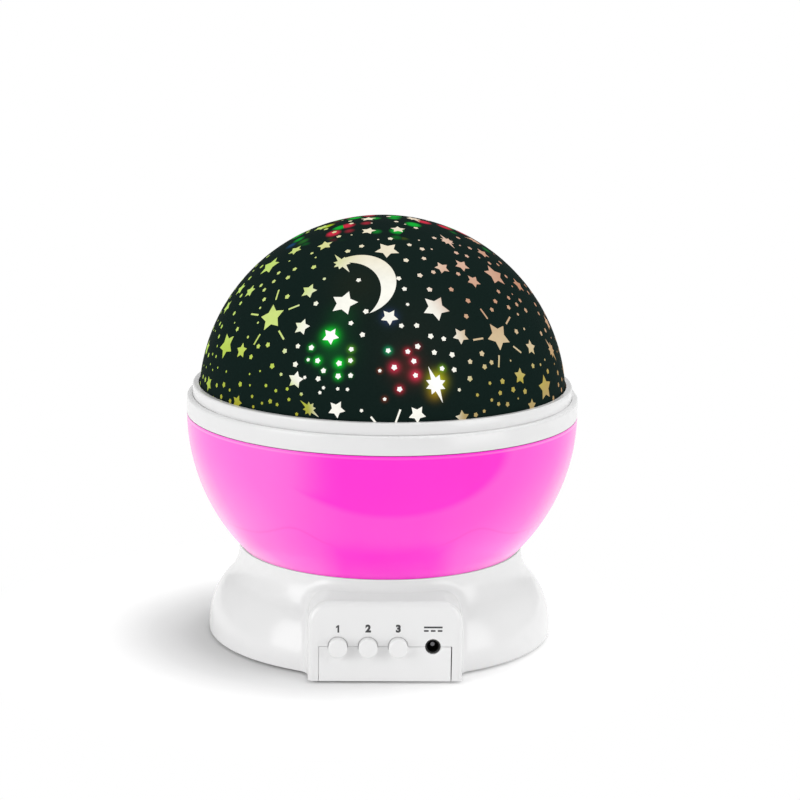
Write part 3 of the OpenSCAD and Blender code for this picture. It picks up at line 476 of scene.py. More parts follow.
def bowl_material():
    """Hot pink glossy moulding, a little see-through, with painted light: paler where the lamps inside would
    light the wall and a painted sheen where it is seen edge on; painted shade in front of the battery bay and
    the motor."""
    m, t, s = new_material("bowl_pink")
    where = t.where()
    cloud = t.noise(where, 30.0, 3.0, Distortion=0.8)
    x, _, z = t.axes(where)
    aside = t.math("ABSOLUTE", x)
    drop = t.less(MOUTH_Z * MM, z)
    tone = t.mix(cloud, (1.0, 0.006, 0.62), (1.0, 0.018, 0.66))

    def squared(value, size):
        q = t.over(value, size * MM)
        return t.times(q, q)

    def step(value, start, end):
        return t.smooth(value, start * MM, end * MM)

    def rest(value):
        return t.less(1.0, value)

    # painted light where the lamps inside would shine through the wall, with painted shade in front of the
    # motor and the battery bay
    shifted = t.less(x, 1.5 * MM)
    motor = t.smooth(t.plus(squared(shifted, 36), squared(drop, 20.3)), 0.84, 1.14)
    painted_beam_light = t.times(step(t.times(x, -1.0), 13, 31), rest(step(drop, 11, 19)))
    wobble = t.times(t.less(cloud, 0.5), 6 * MM)
    beside = t.less(t.plus(t.math("ABSOLUTE", shifted), wobble), 17 * MM)
    bay = step(t.most(beside, t.less(33 * MM, drop)), -4, 5)
    lit = t.times(t.most(motor, painted_beam_light), bay)
    right = step(x, 5, 42)
    spread = t.plus(0.085, t.times(step(aside, 8, 42), 0.175))
    spread = t.times(spread, rest(t.times(right, 0.42)))
    tone = t.mix(t.times(lit, spread), tone, (1.0, 0.50, 0.78))
    # painted shade of the inner rib, with a hump on each side
    hump = t.math("EXPONENT", t.times(squared(t.less(aside, 29 * MM), 8.5), -1.0))
    off = t.less(drop, t.less(RIB_DROP * MM, t.times(hump, 5.5 * MM)))
    painted_rib_shadow = t.times(t.math("EXPONENT", t.times(squared(off, 0.45), -1.0)), step(aside, 13, 22))
    tone = t.mix(t.times(painted_rib_shadow, 0.22), tone, (0.80, 0.0, 0.42))
    # painted sheen: paler where the wall is seen edge on
    facing = t.add("LayerWeight", {"Blend": 0.5}).outputs["Facing"]
    pale = t.ramp(facing, [(0.34, (0, 0, 0)), (0.62, (0.13, 0.13, 0.13)), (0.84, (0.52, 0.52, 0.52)),
                           (0.96, (0.46, 0.46, 0.46))])
    sheen_strength = t.plus(0.30, t.times(step(drop, 3, 22), 0.70))
    sheen_strength = t.times(sheen_strength, rest(t.times(right, 0.18)))
    heel = t.times(step(drop, 32, 45), rest(step(aside, 12, 32)))
    sheen_strength = t.times(sheen_strength, rest(t.times(heel, 0.6)))
    tone = t.mix(t.times(pale, sheen_strength), tone, (1.0, 0.58, 0.76))
    # a painted highlight: a light hairline under the lip
    lip = t.times(step(drop, 0.55, 0.8), rest(step(drop, 1.1, 1.5)))
    lip_highlight = t.plus(0.10, t.times(step(aside, 15, 50), 0.14))
    tone = t.mix(t.times(lip, lip_highlight), tone, (1.0, 0.62, 0.86))
    # grey to bounced light, so that the white base stays white
    light = t.add("LightPath").outputs
    bounce = t.most(light["Is Diffuse Ray"], light["Is Glossy Ray"])
    t.put(s, "Base Color", t.mix(bounce, tone, (0.80, 0.79, 0.80)))
    # painted glow: pink emission, stronger lower down, that lifts the lower wall's shade
    inside = t.times(t.plus(0.05, t.times(step(drop, 20, 50), 0.17)), rest(bounce))
    t.put(s, "Emission Color", t.mix(inside, (0, 0, 0), (1.0, 0.0, 0.60)))
    setup(s, coat=0.15, coat_rough=0.04, spec=0.42, glow=1.0)
    t.put(s, "Roughness", t.plus(0.16, t.times(t.noise(where, 300.0), 0.12)))
    t.bump(s, cloud, 0.15, 0.25)
    return m


MOULDED = moulding_group()
SPOT = spot_group()
LAMPS = lamp_group()
MATS = {
    "shell": plastic("base_white", (0.84, 0.84, 0.84), 0.24, 0.02, 0.04, coat=0.4, coat_rough=0.12),
    "ring": plastic("ring_white", (0.795, 0.795, 0.795), 0.22, 0.02, 0.04, coat=0.3, coat_rough=0.12),
    "cover": plastic("cover_white", (0.87, 0.87, 0.87), 0.31, 0.02, 0.05, coat=0.3, coat_rough=0.12),
    "button": plastic("button_white", (0.86, 0.86, 0.86), 0.20, 0.03, 0.03),
    "inner": plastic("inner_white", (0.78, 0.78, 0.76), 0.45, 0.05, 0.15, 0.04),
    "foot": plastic("foot_rubber", (0.02, 0.02, 0.02), 0.8, 0.3, 0.8, 0.08),
    "black": plastic("black_moulding", (0.012, 0.012, 0.012), 0.35, 0.3, 0.3, 0.03),
    "grey": plastic("gearbox_grey", (0.22, 0.22, 0.23), 0.45, 0.15, 0.3, 0.04),
    "ivory": plastic("gear_ivory", (0.72, 0.64, 0.42), 0.38, 0.08, 0.1),
    "board": plastic("board_green", (0.01, 0.13, 0.04), 0.35, 0.3, 0.3),
    "board_white": plastic("board_white", (0.75, 0.76, 0.76), 0.3, 0.06, 0.1),
    "cell": plastic("cell_wrap", (0.02, 0.16, 0.07), 0.3, 0.2, 0.05),
    "ink": plastic("mark_ink", (0.045, 0.045, 0.048), 0.5, 0.25, 0.2),
    "red_wire": plastic("wire_red", (0.35, 0.01, 0.01), 0.4, 0.1, 0.1),
    "blue_wire": plastic("wire_blue", (0.01, 0.03, 0.25), 0.4, 0.1, 0.1),
    "clear": plastic("clear_dome", (0.85, 0.9, 0.88), 0.08, 0.02, 0.02),
    "steel": metal("screw_steel", (0.42, 0.42, 0.44), 0.35),
    "nickel": metal("contact_nickel", (0.66, 0.65, 0.62), 0.25),
    "pin": metal("pin_dark", (0.16, 0.16, 0.17), 0.3),
    "bowl": bowl_material(), "film": film_material(), "window": window_material(),
    "led_warm": lens_material("lens_warm", (1.0, 0.78, 0.42)),
    "led_red": lens_material("lens_red", (1.0, 0.03, 0.02)),
    "led_green": lens_material("lens_green", (0.04, 1.0, 0.10)),
    "led_blue": lens_material("lens_blue", (0.04, 0.15, 1.0)),
}


# ---------------------------------------------------------------- mesh helpers

def finish_mesh(name, bm, material, sharp=32, outward=True):
    """Merges doubles, points faces outwards, shades smooth up to an angle and links the piece."""
    bmesh.ops.remove_doubles(bm, verts=bm.verts, dist=1e-7)
    if outward:
        bmesh.ops.recalc_face_normals(bm, faces=bm.faces)
    for f in bm.faces:
        f.smooth = True
        f.material_index = 0
    for e in bm.edges:
        e.smooth = len(e.link_faces) == 2 and e.calc_face_angle(0) < math.radians(sharp)
    mesh = bpy.data.meshes.new(name)
    bm.to_mesh(mesh)
    bm.free()
    mesh.materials.append(material)
    return new_object(name, mesh)


def arc(cx, cz, r, a0, a1, n):
    """Points on an arc round a middle, from one angle to another in n steps."""
    turns = [math.radians(a0 + (a1 - a0) * k / n) for k in range(n + 1)]
    return [(cx + r * math.cos(a), cz + r * math.sin(a)) for a in turns]


def lathe_into(bm, profile, steps=256, place=None):
    """Turns a closed profile (radius, height in mm) about Z, or about the axis that place gives."""
    rings = []
    for k in range(steps):
        a = math.radians(360.0 * k / steps)
        points = [Vector((r * math.cos(a), r * math.sin(a), z)) for r, z in profile]
        rings.append([bm.verts.new((place @ p if place else p) * MM) for p in points])
    n = len(profile)
    for k in range(steps):
        a, b = rings[k], rings[(k + 1) % steps]
        for j in range(n):
            q = (j + 1) % n
            if profile[j][0] >= ON_AXIS or profile[q][0] >= ON_AXIS:
                bm.faces.new((a[j], a[q], b[q], b[j]))


def lathe(name, profile, material):
    bm = bmesh.new()
    lathe_into(bm, profile)
    return finish_mesh(name, bm, material)


def prism_into(bm, outline, y0, y1):
    """A closed form between two planes across Y, from an outline of (x, z) in mm."""
    rows = [[bm.verts.new((x * MM, y * MM, z * MM)) for x, z in outline] for y in (y0, y1)]
    bm.faces.new(rows[0])
    bm.faces.new(rows[1][::-1])
    for k in range(len(outline)):
        q = (k + 1) % len(outline)
        bm.faces.new((rows[0][k], rows[1][k], rows[1][q], rows[0][q]))


def box_into(bm, lo, hi):
    """A box between two corners in mm."""
    corners = [(x, y, z) for x in (lo[0], hi[0]) for y in (lo[1], hi[1]) for z in (lo[2], hi[2])]
    vs = [bm.verts.new(Vector(corner) * MM) for corner in corners]
    for f in ((0, 1, 3, 2), (4, 6, 7, 5), (0, 4, 5, 1), (2, 3, 7, 6), (0, 2, 6, 4), (1, 5, 7, 3)):
        bm.faces.new([vs[k] for k in f])


def smooth_copy(node, name, material, body):
    """A CAD node's own mesh with its corners merged and its curved faces shaded smooth."""
    bm = bmesh.new()
    bm.from_mesh(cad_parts[node].data)
    if node == "dome_collar":
        for v in bm.verts:
            if abs(v.co.z - COLLAR_Z * MM) < 0.02 * MM and v.co.xy.length > 60 * MM:
                v.co.z -= COLLAR_SINK * MM
    carry(finish_mesh(name, bm, material, 28), body, instead_of=node)


# ---------------------------------------------------------------- dome and its windows

def sphere_profile(r_out, r_in, z_edge):
    """A shell's profile from its edge up over the top and back down inside."""
    def side(r):
        e = math.degrees(math.asin((z_edge - DOME_Z) / r))
        return [(max(x, 0.0), z) for x, z in arc(0, DOME_Z, r, e, 90, 96)]

    out, inn = side(r_out), side(r_in)
    out[-1] = (0.0, DOME_Z + r_out)
    inn[-1] = (0.0, DOME_Z + r_in)
    return out + inn[::-1]


# star windows: turn from the front, height angle, size, own turn, rays
STARS = [
    (-17.5, 41, 4.4, 27, 5), (18.5, 39.5, 4.5, 1, 5), (0, 63, 4, 68, 5), (-20, 30, 2.8, 12, 5),
    (0.3, 36.8, 2.8, 3, 5), (-31.5, 32, 2.8, 31, 5), (-34.5, 44, 2.8, 33, 5), (25.5, 30, 2.8, 62, 5),
    (-29.5, 16, 2.8, 30, 5), (-15.5, 8.5, 2.8, 9, 5), (8.5, 7.5, 2.8, 2, 5), (46, 15.5, 2.7, 22, 5),
    (55.5, 23, 2.6, 21, 5), (-54.5, 21.5, 2.6, 44, 5), (-68.5, 39.5, 2.5, 54, 5), (-80, 38.5, 2.6, 62, 5),
    (29, 54, 2.6, 44, 5), (42, 54, 2.7, 51, 5), (42, 47.5, 2.6, 54, 5), (59, 48, 4.4, 19, 5),
    (73, 42, 2.9, 19, 5), (70.5, 56.5, 2.6, 21, 5), (-20, 74, 2.5, 36, 5), (14.5, 75.5, 2.5, 24, 5),
    (-45.5, 63, 2.7, 8, 5), (-65, 58, 2.6, 45, 5), (-71, 49.5, 4.1, 59, 5), (-86, 70, 2.7, 10, 5),
    (-60, 84, 2.6, 20, 5), (-81.5, 31.5, 2.6, 20, 5), (-84, 17, 2.8, 50, 5), (80, 27, 2.8, 33, 5),
    (84, 11, 2.6, 9, 5), (-51.5, 6.2, 2.4, 20, 5), (22.5, 5.8, 2.4, 40, 5), (50, 6, 2.2, 30, 5),
    (-46, 33.5, 4.7, 60, 5), (41, 28.5, 4.7, 58, 5), (-25, 56, 2.9, 47, 8), (14.5, 16, 3.3, 19, 8),
    (51.5, 65.5, 2.4, 344, 8), (88, 61, 2.6, 35, 8), (92, 81, 2.6, 292, 8), (-24, 8, 2.2, 55, 8),
    (-104, 46, 3.4, 20, 5), (100, 15, 3, 20, 5), (107, 38, 4.2, 8, 5), (128, 24, 3, 50, 5),
    (130, 54, 3.4, 31, 5), (150, 12, 2.8, 9, 5), (152, 36, 4.2, 44, 5), (186, 22, 3.2, 12, 5),
    (207, 50, 4.2, 22, 5), (208, 14, 2.8, 40, 5), (232, 33, 2.8, 5, 8), (250, 16, 3, 60, 5),
    (180, 72, 3.4, 50, 5), (-64.5, 21.5, 4.4, 2, 5), (-71, 8.2, 2.6, 63, 5), (58.7, 10, 4.2, 35, 5),
    (70.5, 19.7, 2.6, 28, 8)]
MOONS = [(-14, 48.5, 12.4, 312, 17.0), (178, 48, 11, 160, 0.0)]    # the last number trims one horn
RAYED = (36, 37, 46, 52)          # these stars have five short strokes round them
STROKE = (1.36, 2.2, 0.3)         # a stroke's start and end in sizes of its star, and half its width in mm
STROKE_LAG = 6                    # the strokes stand this many degrees before the star's points
# sparks: small windows in front of the lamps and round the moon, and the strokes that end at the rim
SPARKS = [
    (-13.5, 49.5), (-29, 40), (-8.5, 38.5), (-13.5, 34.5), (-9, 31), (15.5, 51.5), (7, 46.5), (7.5, 41),
    (18, 46), (23, 52.5), (28, 45.5), (33.5, 41), (4.5, 34), (10, 34), (14.5, 30.5), (19, 29.5),
    (30, 36), (-39.5, 53), (-50, 51), (-50, 47.5), (-43.5, 41), (-55, 38.5), (-18, 64.5), (-25.5, 61.5),
    (16.5, 65.5), (24, 63), (10.5, 58), (21.5, 58.5), (5, 50.5), (-26, 26), (-12.3, 26.4), (-23, 22.3),
    (-15.8, 22), (-12.2, 23), (-20.6, 19.5), (-15.7, 18.2), (-11.8, 18.6), (-22, 17), (-20, 14.5),
    (-15.5, 14.5), (-12.5, 14.5), (-21, 13), (-0.2, 26.3), (-2.8, 20.3), (1.7, 21.3), (6.2, 26),
    (8, 23.1), (9.6, 27.5), (8.3, 18.9), (3.3, 14.9), (-1.2, 12), (-8, 8.5), (15, 25.5), (21, 24.5),
    (17, 20.6), (21, 20), (22, 14), (-31, 26), (-35.5, 24), (-30.5, 20.5), (-35, 17), (-32, 13), (-31, 10),
    (-27, 12), (-28, 6), (26, 17), (27, 22), (32, 20), (32, 24), (35, 21), (28, 12), (33, 10), (33, 15),
    (30, 7), (-36, 12), (-35, 8), (-40, 13), (-39, 19), (-47, 24), (-43, 25), (38, 15), (39, 8),
    (-30, 49), (-26.3, 22.3), (-26.5, 17), (-45, 9), (42, 12), (43, 37)]
SMALL_SPARKS = (7, 38, 39, 40, 41, 43, 50, 51, 56, 60, 61, 62, 63, 64,
                70, 71, 72, 73, 74, 75, 76, 82, 83, 84, 85)
SPARK_SIZES = (0.62, 0.92, 0.06)          # of the small ones, of the others, and how much these vary
# how far in a star's notches lie, and how long a burst's long rays are, as shares of its size
NOTCH, BURST_NOTCH, SPARK_NOTCH, LONG_RAY = 0.53, 0.62, 0.74, 1.85
RIM_STROKES = [(-5.2, 6.8, 40, 2.9), (3.5, 9, 340, 4.6)]       # turn, height angle, own turn, length


def star_ring(r, rays, notch=None):
    """A star's outline; one with more than five rays has two opposite long ones."""
    burst = rays > 5
    notch = notch or (BURST_NOTCH if burst else NOTCH)
    out = []
    for k in range(2 * rays):
        q = r * notch if k % 2 else r * LONG_RAY if burst and k % rays == 0 else r
        out.append((q * math.cos(math.pi / rays * k), q * math.sin(math.pi / rays * k)))
    return out


def moon_ring(r, trim):
    """What a smaller circle leaves of a circle, with one horn trimmed by some degrees."""
    d, q = 0.45 * r, 0.99 * r
    x = (r * r - q * q + d * d) / (2 * d)
    a = math.degrees(math.acos(x / r))
    b = math.degrees(math.acos((x - d) / q))
    outer = arc(0, 0, r, a, 360 - a - trim, 60)
    inner = arc(d, 0, q, 360 - b - trim, b, 50)
    return outer + inner[:-1]


def on_dome(turn, rise, spin):
    """Takes a flat outline in mm to the dome's surface, as the part's source does."""
    return (Matrix.Translation((0, 0, DOME_Z)) @ Matrix.Rotation(math.radians(turn - 90), 4, "Z")
            @ Matrix.Rotation(math.radians(90 - rise), 4, "Y") @ Matrix.Translation((0, 0, DOME_R))
            @ Matrix.Rotation(math.radians(spin), 4, "Z"))


def window_into(bm, outline, place, r):
    """A window patch: the outline filled, cut fine, pressed onto the dome's ball and ended at its edge."""
    part = bmesh.new()
    f = part.faces.new([part.verts.new((x, y, 0)) for x, y in outline])
    part.normal_update()
    if f.normal.z < 0:
        f.normal_flip()
    bmesh.ops.triangulate(part, faces=part.faces)
    for _ in range(3):
        long = [e for e in part.edges if e.calc_length() > WINDOW_STEP]
        if not long:
            break
        bmesh.ops.subdivide_edges(part, edges=long, cuts=1)
        bmesh.ops.triangulate(part, faces=part.faces)
    mid = Vector((0, 0, DOME_Z))
    for v in part.verts:
        v.co = mid + (place @ v.co - mid).normalized() * r
    bmesh.ops.bisect_plane(part, geom=part.verts[:] + part.edges[:] + part.faces[:], dist=1e-4,
                           plane_co=(0, 0, DOME_EDGE + WINDOW_END), plane_no=(0, 0, -1), clear_outer=True)
    part.verts.index_update()
    made = {v.index: bm.verts.new(v.co * MM) for v in part.verts}
    for f in part.faces:
        bm.faces.new([made[v.index] for v in f.verts])
    part.free()


def stroke(angle, near, far, half):
    """A stroke's outline, pointing away from its star's middle."""
    c, q = math.cos(math.radians(angle)), math.sin(math.radians(angle))
    corners = ((near, -half), (far, -half), (far, half), (near, half))
    return [(x * c - y * q, x * q + y * c) for x, y in corners]


def make_big_windows():
    """All windows that have a place of their own, as one piece."""
    bm = bmesh.new()
    r = DOME_R + WINDOW_OUT
    for k, (turn, rise, size, spin, rays) in enumerate(STARS):
        place = on_dome(turn, rise, spin)
        window_into(bm, star_ring(size, rays), place, r)
        if k in RAYED:
            near, far, half = STROKE
            for j in range(5):
                window_into(bm, stroke(72 * j - STROKE_LAG, size * near, size * far, half), place, r)
    for turn, rise, size, spin, trim in MOONS:
        window_into(bm, moon_ring(size, trim), on_dome(turn, rise, spin), r)
    for turn, rise, spin, length in RIM_STROKES:
        window_into(bm, stroke(0, 0, length, STROKE[2]), on_dome(turn, rise, spin), r)
    for k, (turn, rise) in enumerate(SPARKS):
        small, usual, vary = SPARK_SIZES
        size = small if k in SMALL_SPARKS else usual + vary * ((k * 7) % 3 - 1)
        window_into(bm, star_ring(size, 5, SPARK_NOTCH), on_dome(turn, rise, 31 * k), r)
    o = finish_mesh("star_windows", bm, MATS["window"], 180, outward=False)
    carry(o, "dome")
    return o


def small_star_tree():
    """Scatters small stars over the dome, clear of the other windows and of the part with its own sparks."""
    g = bpy.data.node_groups.new("scattered_stars", "GeometryNodeTree")
    sizes = {"Radius": DOME_R + SMALL_OUT, "Middle height": DOME_Z, "Lowest height": DOME_EDGE + 1.3,
             "Spacing": 3.3, "Clearance": 2.0, "Smallest": 0.40, "Largest": 0.90, "Front reach": 36.0}
    ids = new_inputs(g, [(name, "Float", size * MM) for name, size in sizes.items()] + [
        ("Front", "Vector", tuple(dome_point(-7, 32) * MM)), ("Seed", "Int", 3), ("Windows", "Geometry", None),
        ("Finish", "Material", None)])
    g.interface.move(g.interface.items_tree["Windows"], 0)
    g.interface.new_socket("Stars", in_out="OUTPUT", socket_type="NodeSocketGeometry")
    t = Tree(g)
    i, o = t.add("NodeGroupInput").outputs, t.add("NodeGroupOutput")

    def compare(a, b, operation):
        return t.add("FunctionNodeCompare", {0: a, 1: b}, data_type="FLOAT", operation=operation).outputs[0]

    def chance(seed):
        return t.add("FunctionNodeRandomValue", {"Seed": seed}, data_type="FLOAT").outputs[1]

    middle = t.add("CombineXYZ", {2: i["Middle height"]}).outputs[0]
    ball = t.add("GeometryNodeMeshUVSphere", {"Segments": 128, "Rings": 64, "Radius": i["Radius"]})
    ball = t.add("GeometryNodeSetPosition", {"Geometry": ball.outputs["Mesh"], "Offset": middle})
    spread = {"Mesh": ball.outputs[0], "Distance Min": i["Spacing"], "Density Max": 400000.0,
              "Seed": i["Seed"]}
    scatter = t.add("GeometryNodeDistributePointsOnFaces", spread, distribute_method="POISSON")
    here = t.add("GeometryNodeInputPosition").outputs[0]
    high = t.axes(here)[2]
    low = compare(high, i["Lowest height"], "LESS_THAN")
    near = t.add("GeometryNodeProximity", {0: i["Windows"]}, target_element="FACES")
    close = compare(near.outputs["Distance"], i["Clearance"], "LESS_THAN")
    front = compare(t.vec("DISTANCE", here, i["Front"], out="Value"), i["Front reach"], "LESS_THAN")
    rising = t.times(t.less(high, i["Middle height"]), 6.0)
    rare = compare(chance(5), t.less(0.72, rising), "GREATER_THAN")
    out = low
    for more in (close, front, rare):
        out = t.add("FunctionNodeBooleanMath", {0: out, 1: more}, operation="OR").outputs[0]
    keep = t.add("GeometryNodeDeleteGeometry", {"Geometry": scatter.outputs["Points"], "Selection": out},
                 domain="POINT")
    star = t.add("GeometryNodeCurveStar", {"Points": 5, "Inner Radius": SPARK_NOTCH, "Outer Radius": 1.0})
    star = t.add("GeometryNodeFillCurve", {0: star.outputs[0]})
    share = t.smooth(chance(11), 0.30, 0.55)
    size = t.plus(i["Smallest"], t.times(share, t.less(i["Largest"], i["Smallest"])))
    size = t.times(size, t.plus(0.9, t.times(chance(13), 0.2)))
    spin = t.add("FunctionNodeRandomValue", {0: (0, 0, 0), 1: (0, 0, 6.283), "Seed": 17},
                 data_type="FLOAT_VECTOR")
    turn = t.add("FunctionNodeRotateRotation", {0: scatter.outputs["Rotation"], 1: spin.outputs[0]},
                 rotation_space="LOCAL")
    each = t.add("GeometryNodeInstanceOnPoints", {"Points": keep.outputs[0], "Instance": star.outputs[0],
                                                  "Rotation": turn.outputs[0], "Scale": size})
    real = t.add("GeometryNodeRealizeInstances", {0: each.outputs[0]})
    pressed = t.scaled(t.vec("NORMALIZE", t.vec("SUBTRACT", here, middle)), i["Radius"])
    onto = t.vec("ADD", pressed, middle)
    real = t.add("GeometryNodeSetPosition", {"Geometry": real.outputs[0], "Position": onto})
    done = t.add("GeometryNodeSetMaterial", {"Geometry": real.outputs[0], "Material": i["Finish"]})
    t.put(o, 0, done.outputs[0])
    return g, ids


def evaluated_mesh(o):
    """A plain mesh of an object with its modifiers, or of a text; the object itself is removed."""
    bpy.context.view_layer.update()
    mesh = bpy.data.meshes.new_from_object(o.evaluated_get(bpy.context.evaluated_depsgraph_get()))
    bpy.data.objects.remove(o)
    return mesh


def make_small_stars(windows):
    """The scattered small stars, as one piece."""
    g, ids = small_star_tree()
    o = new_object("scatter_seed", windows.data)
    mod = o.modifiers.new("scatter", "NODES")
    mod.node_group = g
    mod[ids["Finish"]] = MATS["window"]
    bm = bmesh.new()
    bm.from_mesh(evaluated_mesh(o))
    middle = Vector((0, 0, DOME_Z * MM))
    for f in bm.faces:
        if f.normal.dot(f.calc_center_median() - middle) < 0:
            f.normal_flip()
    o = finish_mesh("small_star_windows", bm, MATS["window"], 180, outward=False)
    carry(o, "dome")


def make_dome():
    """The closed dark shell with the lit windows laid on it."""
    shell = lathe("star_shell", sphere_profile(DOME_R, DOME_R - SHELL_WALL, DOME_EDGE), MATS["film"])
    carry(shell, "dome", "star_mask")
    make_small_stars(make_big_windows())


# ---------------------------------------------------------------- bowl, base and the rest

def make_bowl():
    """The bowl's ball-shaped wall with a flat floor and a fine rounded lip."""
    low = math.degrees(math.asin((FLOOR_Z - MOUTH_Z) / BOWL_R))
    low_in = math.degrees(math.asin((FLOOR_Z + BOWL_WALL - MOUTH_Z) / (BOWL_R - BOWL_WALL)))
    lip, lip_in, heel = -0.2, -0.4, 0.4       # the lip's edges in degrees, and the heel's bevel
    out = arc(0, MOUTH_Z, BOWL_R, low, lip, 90)
    inn = arc(0, MOUTH_Z, BOWL_R - BOWL_WALL, lip_in, low_in, 80)
    profile = [(0, FLOOR_Z), (out[0][0] - heel, FLOOR_Z)] + out + inn + [(0, FLOOR_Z + BOWL_WALL)]
    bowl = lathe("bowl_wall", profile, MATS["bowl"])
    carry(bowl, "base", "bowl")


def body_distance(x, y, z):
    """How far a point is outside the base's outer shape: the flare and the panel block, softly joined."""
    def rounded(a, b, corner):
        return np.hypot(np.maximum(a, 0), np.maximum(b, 0)) + np.minimum(np.maximum(a, b), 0) - corner

    rho = np.hypot(x, y)
    bulge = np.hypot(rho - FLARE_C, z - FLARE_Z) - FLARE_R
    cx, cz = NECK_R + NECK_CURVE, NECK_Z
    hollow = NECK_CURVE - np.hypot(rho - cx, z - cz)
    side = (cx - FLARE_C) * (z - FLARE_Z) - (cz - FLARE_Z) * (rho - FLARE_C)
    flare = np.where(z > NECK_Z, rho - NECK_R, np.where(side > 0, hollow, bulge))
    outline = rounded(np.abs(x) - (PANEL_HALF - PANEL_CORNER), z - (PANEL_TOP - PANEL_CORNER), PANEL_CORNER)
    block = rounded(outline + PANEL_EDGE, PANEL_Y - y + PANEL_EDGE, PANEL_EDGE)
    block = np.where(y > 0, 50.0, block)
    h = np.maximum(PANEL_BLEND - np.abs(flare - block), 0) / PANEL_BLEND
    return np.minimum(flare, block) - h * h * PANEL_BLEND / 4


def body_surface(turns, rises, inset):
    """Where rays from a ring inside the base's foot meet its skin: rows of points over turns and rises."""
    t, r = np.meshgrid(np.radians(turns), np.radians(rises))
    lo, hi = np.full(t.shape, 4.0), np.full(t.shape, 44.0)
    for _ in range(34):
        mid = (lo + hi) / 2
        rho, z = SKIN_RING + mid * np.cos(r), mid * np.sin(r)
        inside = body_distance(rho * np.sin(t), -rho * np.cos(t), z) < -inset
        lo, hi = np.where(inside, mid, lo), np.where(inside, hi, mid)
    rho, z = SKIN_RING + lo * np.cos(r), lo * np.sin(r)
    return np.stack([rho * np.sin(t), -rho * np.cos(t), z], -1)


def spans(*parts):
    """Joins ranges (from, to, step) into one list without doubles."""
    out = []
    for a, b, step in parts:
        n = max(1, round((b - a) / step))
        out += [a + (b - a) * k / n for k in range(n)]
    return out


def base_rows(turns):
    """Rows of points round the base's body: skin, bowl seat and inner wall."""
    t = np.radians(turns)
    top = math.degrees(math.atan2(NECK_TOP, NECK_R - SKIN_RING))
    rises = spans((0, 24, 1.2), (24, 54, 0.4), (54, top, 0.8)) + [top]
    rows = list(body_surface(turns, rises, 0.0))

    def ring(r, z):
        rows.append(np.stack([r * np.sin(t), -r * np.cos(t), np.full(t.shape, z)], -1))

    mouth, floor, lip = MOUTH_Z - FOOT, FLOOR_Z - FOOT, NECK_TOP - 0.05
    under = floor - CUP_WALL
    for k in range(13):
        z = lip + (floor - lip) * k / 12
        ring(math.sqrt((CUP_R - (LIP_CLOSER if k == 0 else 0)) ** 2 - (z - mouth) ** 2), z)
    ring(CUP_HUB, floor)
    ring(CUP_HUB, under)
    for k in range(9):
        z = under + (CUP_TOP - under) * k / 8
        ring(math.sqrt((CUP_R + CUP_WALL) ** 2 - (z - mouth) ** 2), z)
    return rows + list(body_surface(turns, spans((0, 69, 1.7)) + [69.0], BASE_WALL)[::-1])


def make_base():
    """The base's body as one closed form, then the panel's cut-outs and the screw posts."""
    half = spans((0, 18, 1.2), (18, 25, 0.25), (25, 34, 0.6), (34, 180, 2.0))
    turns = [-180.0] + [-v for v in reversed(half[1:])] + half
    bm = bmesh.new()
    grid = [[bm.verts.new((x * MM, y * MM, (z + FOOT) * MM)) for x, y, z in row] for row in base_rows(turns)]
    n, m = len(grid), len(turns)
    for j in range(n):
        a, b = grid[j], grid[(j + 1) % n]
        for k in range(m):
            q = (k + 1) % m
            bm.faces.new((a[k], a[q], b[q], b[k]))
    body = finish_mesh("base_body", bm, MATS["shell"], 36)
    # the cut-out: the tongue's seat with the buttons' and the socket's holes along its top edge
    below = -3.0
    outline = [(-TONGUE_HALF, below), (-TONGUE_HALF, SEAM)]
    for x, r in [(x, BUTTON_HOLE) for x in BUTTONS_X] + [(JACK_X, JACK_HOLE)]:
        outline += arc(x, SEAM, r, 180, 0, 24)
    outline += [(TONGUE_HALF, SEAM), (TONGUE_HALF, below)]
    bm = bmesh.new()
    prism_into(bm, [(x, z + FOOT) for x, z in outline], *PANEL_CUT)
    cutter = finish_mesh("cutter", bm, MATS["shell"], 30)
    mod = body.modifiers.new("cut", "BOOLEAN")
    mod.operation = "DIFFERENCE"
    mod.solver = "EXACT"
    mod.object = cutter
    bm = bmesh.new()
    bm.from_mesh(evaluated_mesh(body))
    bpy.data.objects.remove(cutter)
    post = [(POST_BORE, POST_LOW), (POST_R, POST_LOW), (POST_R, POST_TOP), (POST_BORE, POST_TOP)]
    for x, y in POSTS:
        lathe_into(bm, post, 32, Matrix.Translation((x, y, 0)))
    body = finish_mesh("base_body", bm, MATS["shell"], 33)
    carry(body, "base", "base_shell")


def make_seam_lip():
    """A low lip behind the seam between the panel and the cover's tongue."""
    bm = bmesh.new()
    y0, y1 = PANEL_Y + 0.45, PANEL_Y + 1.3
    left, past_button, past_jack = -21.5, 3.4, 2.7
    box_into(bm, (left, y0, 3.0), (left + 1.2, y1, SEAM_Z + 0.5))
    edges = [x + side for x in BUTTONS_X for side in (-past_button, past_button)]
    edges = [left] + edges + [JACK_X - past_jack]
    for k in range(0, len(edges), 2):
        box_into(bm, (edges[k], y0, SEAM_Z - 0.6), (edges[k + 1], y1, SEAM_Z + 0.6))
    carry(finish_mesh("seam_lip", bm, MATS["shell"]), "base")


CAP_HEIGHT = 0.69               # a numeral's height as a share of the font's size
STROKE_GAIN = 0.19              # makes the numerals bold


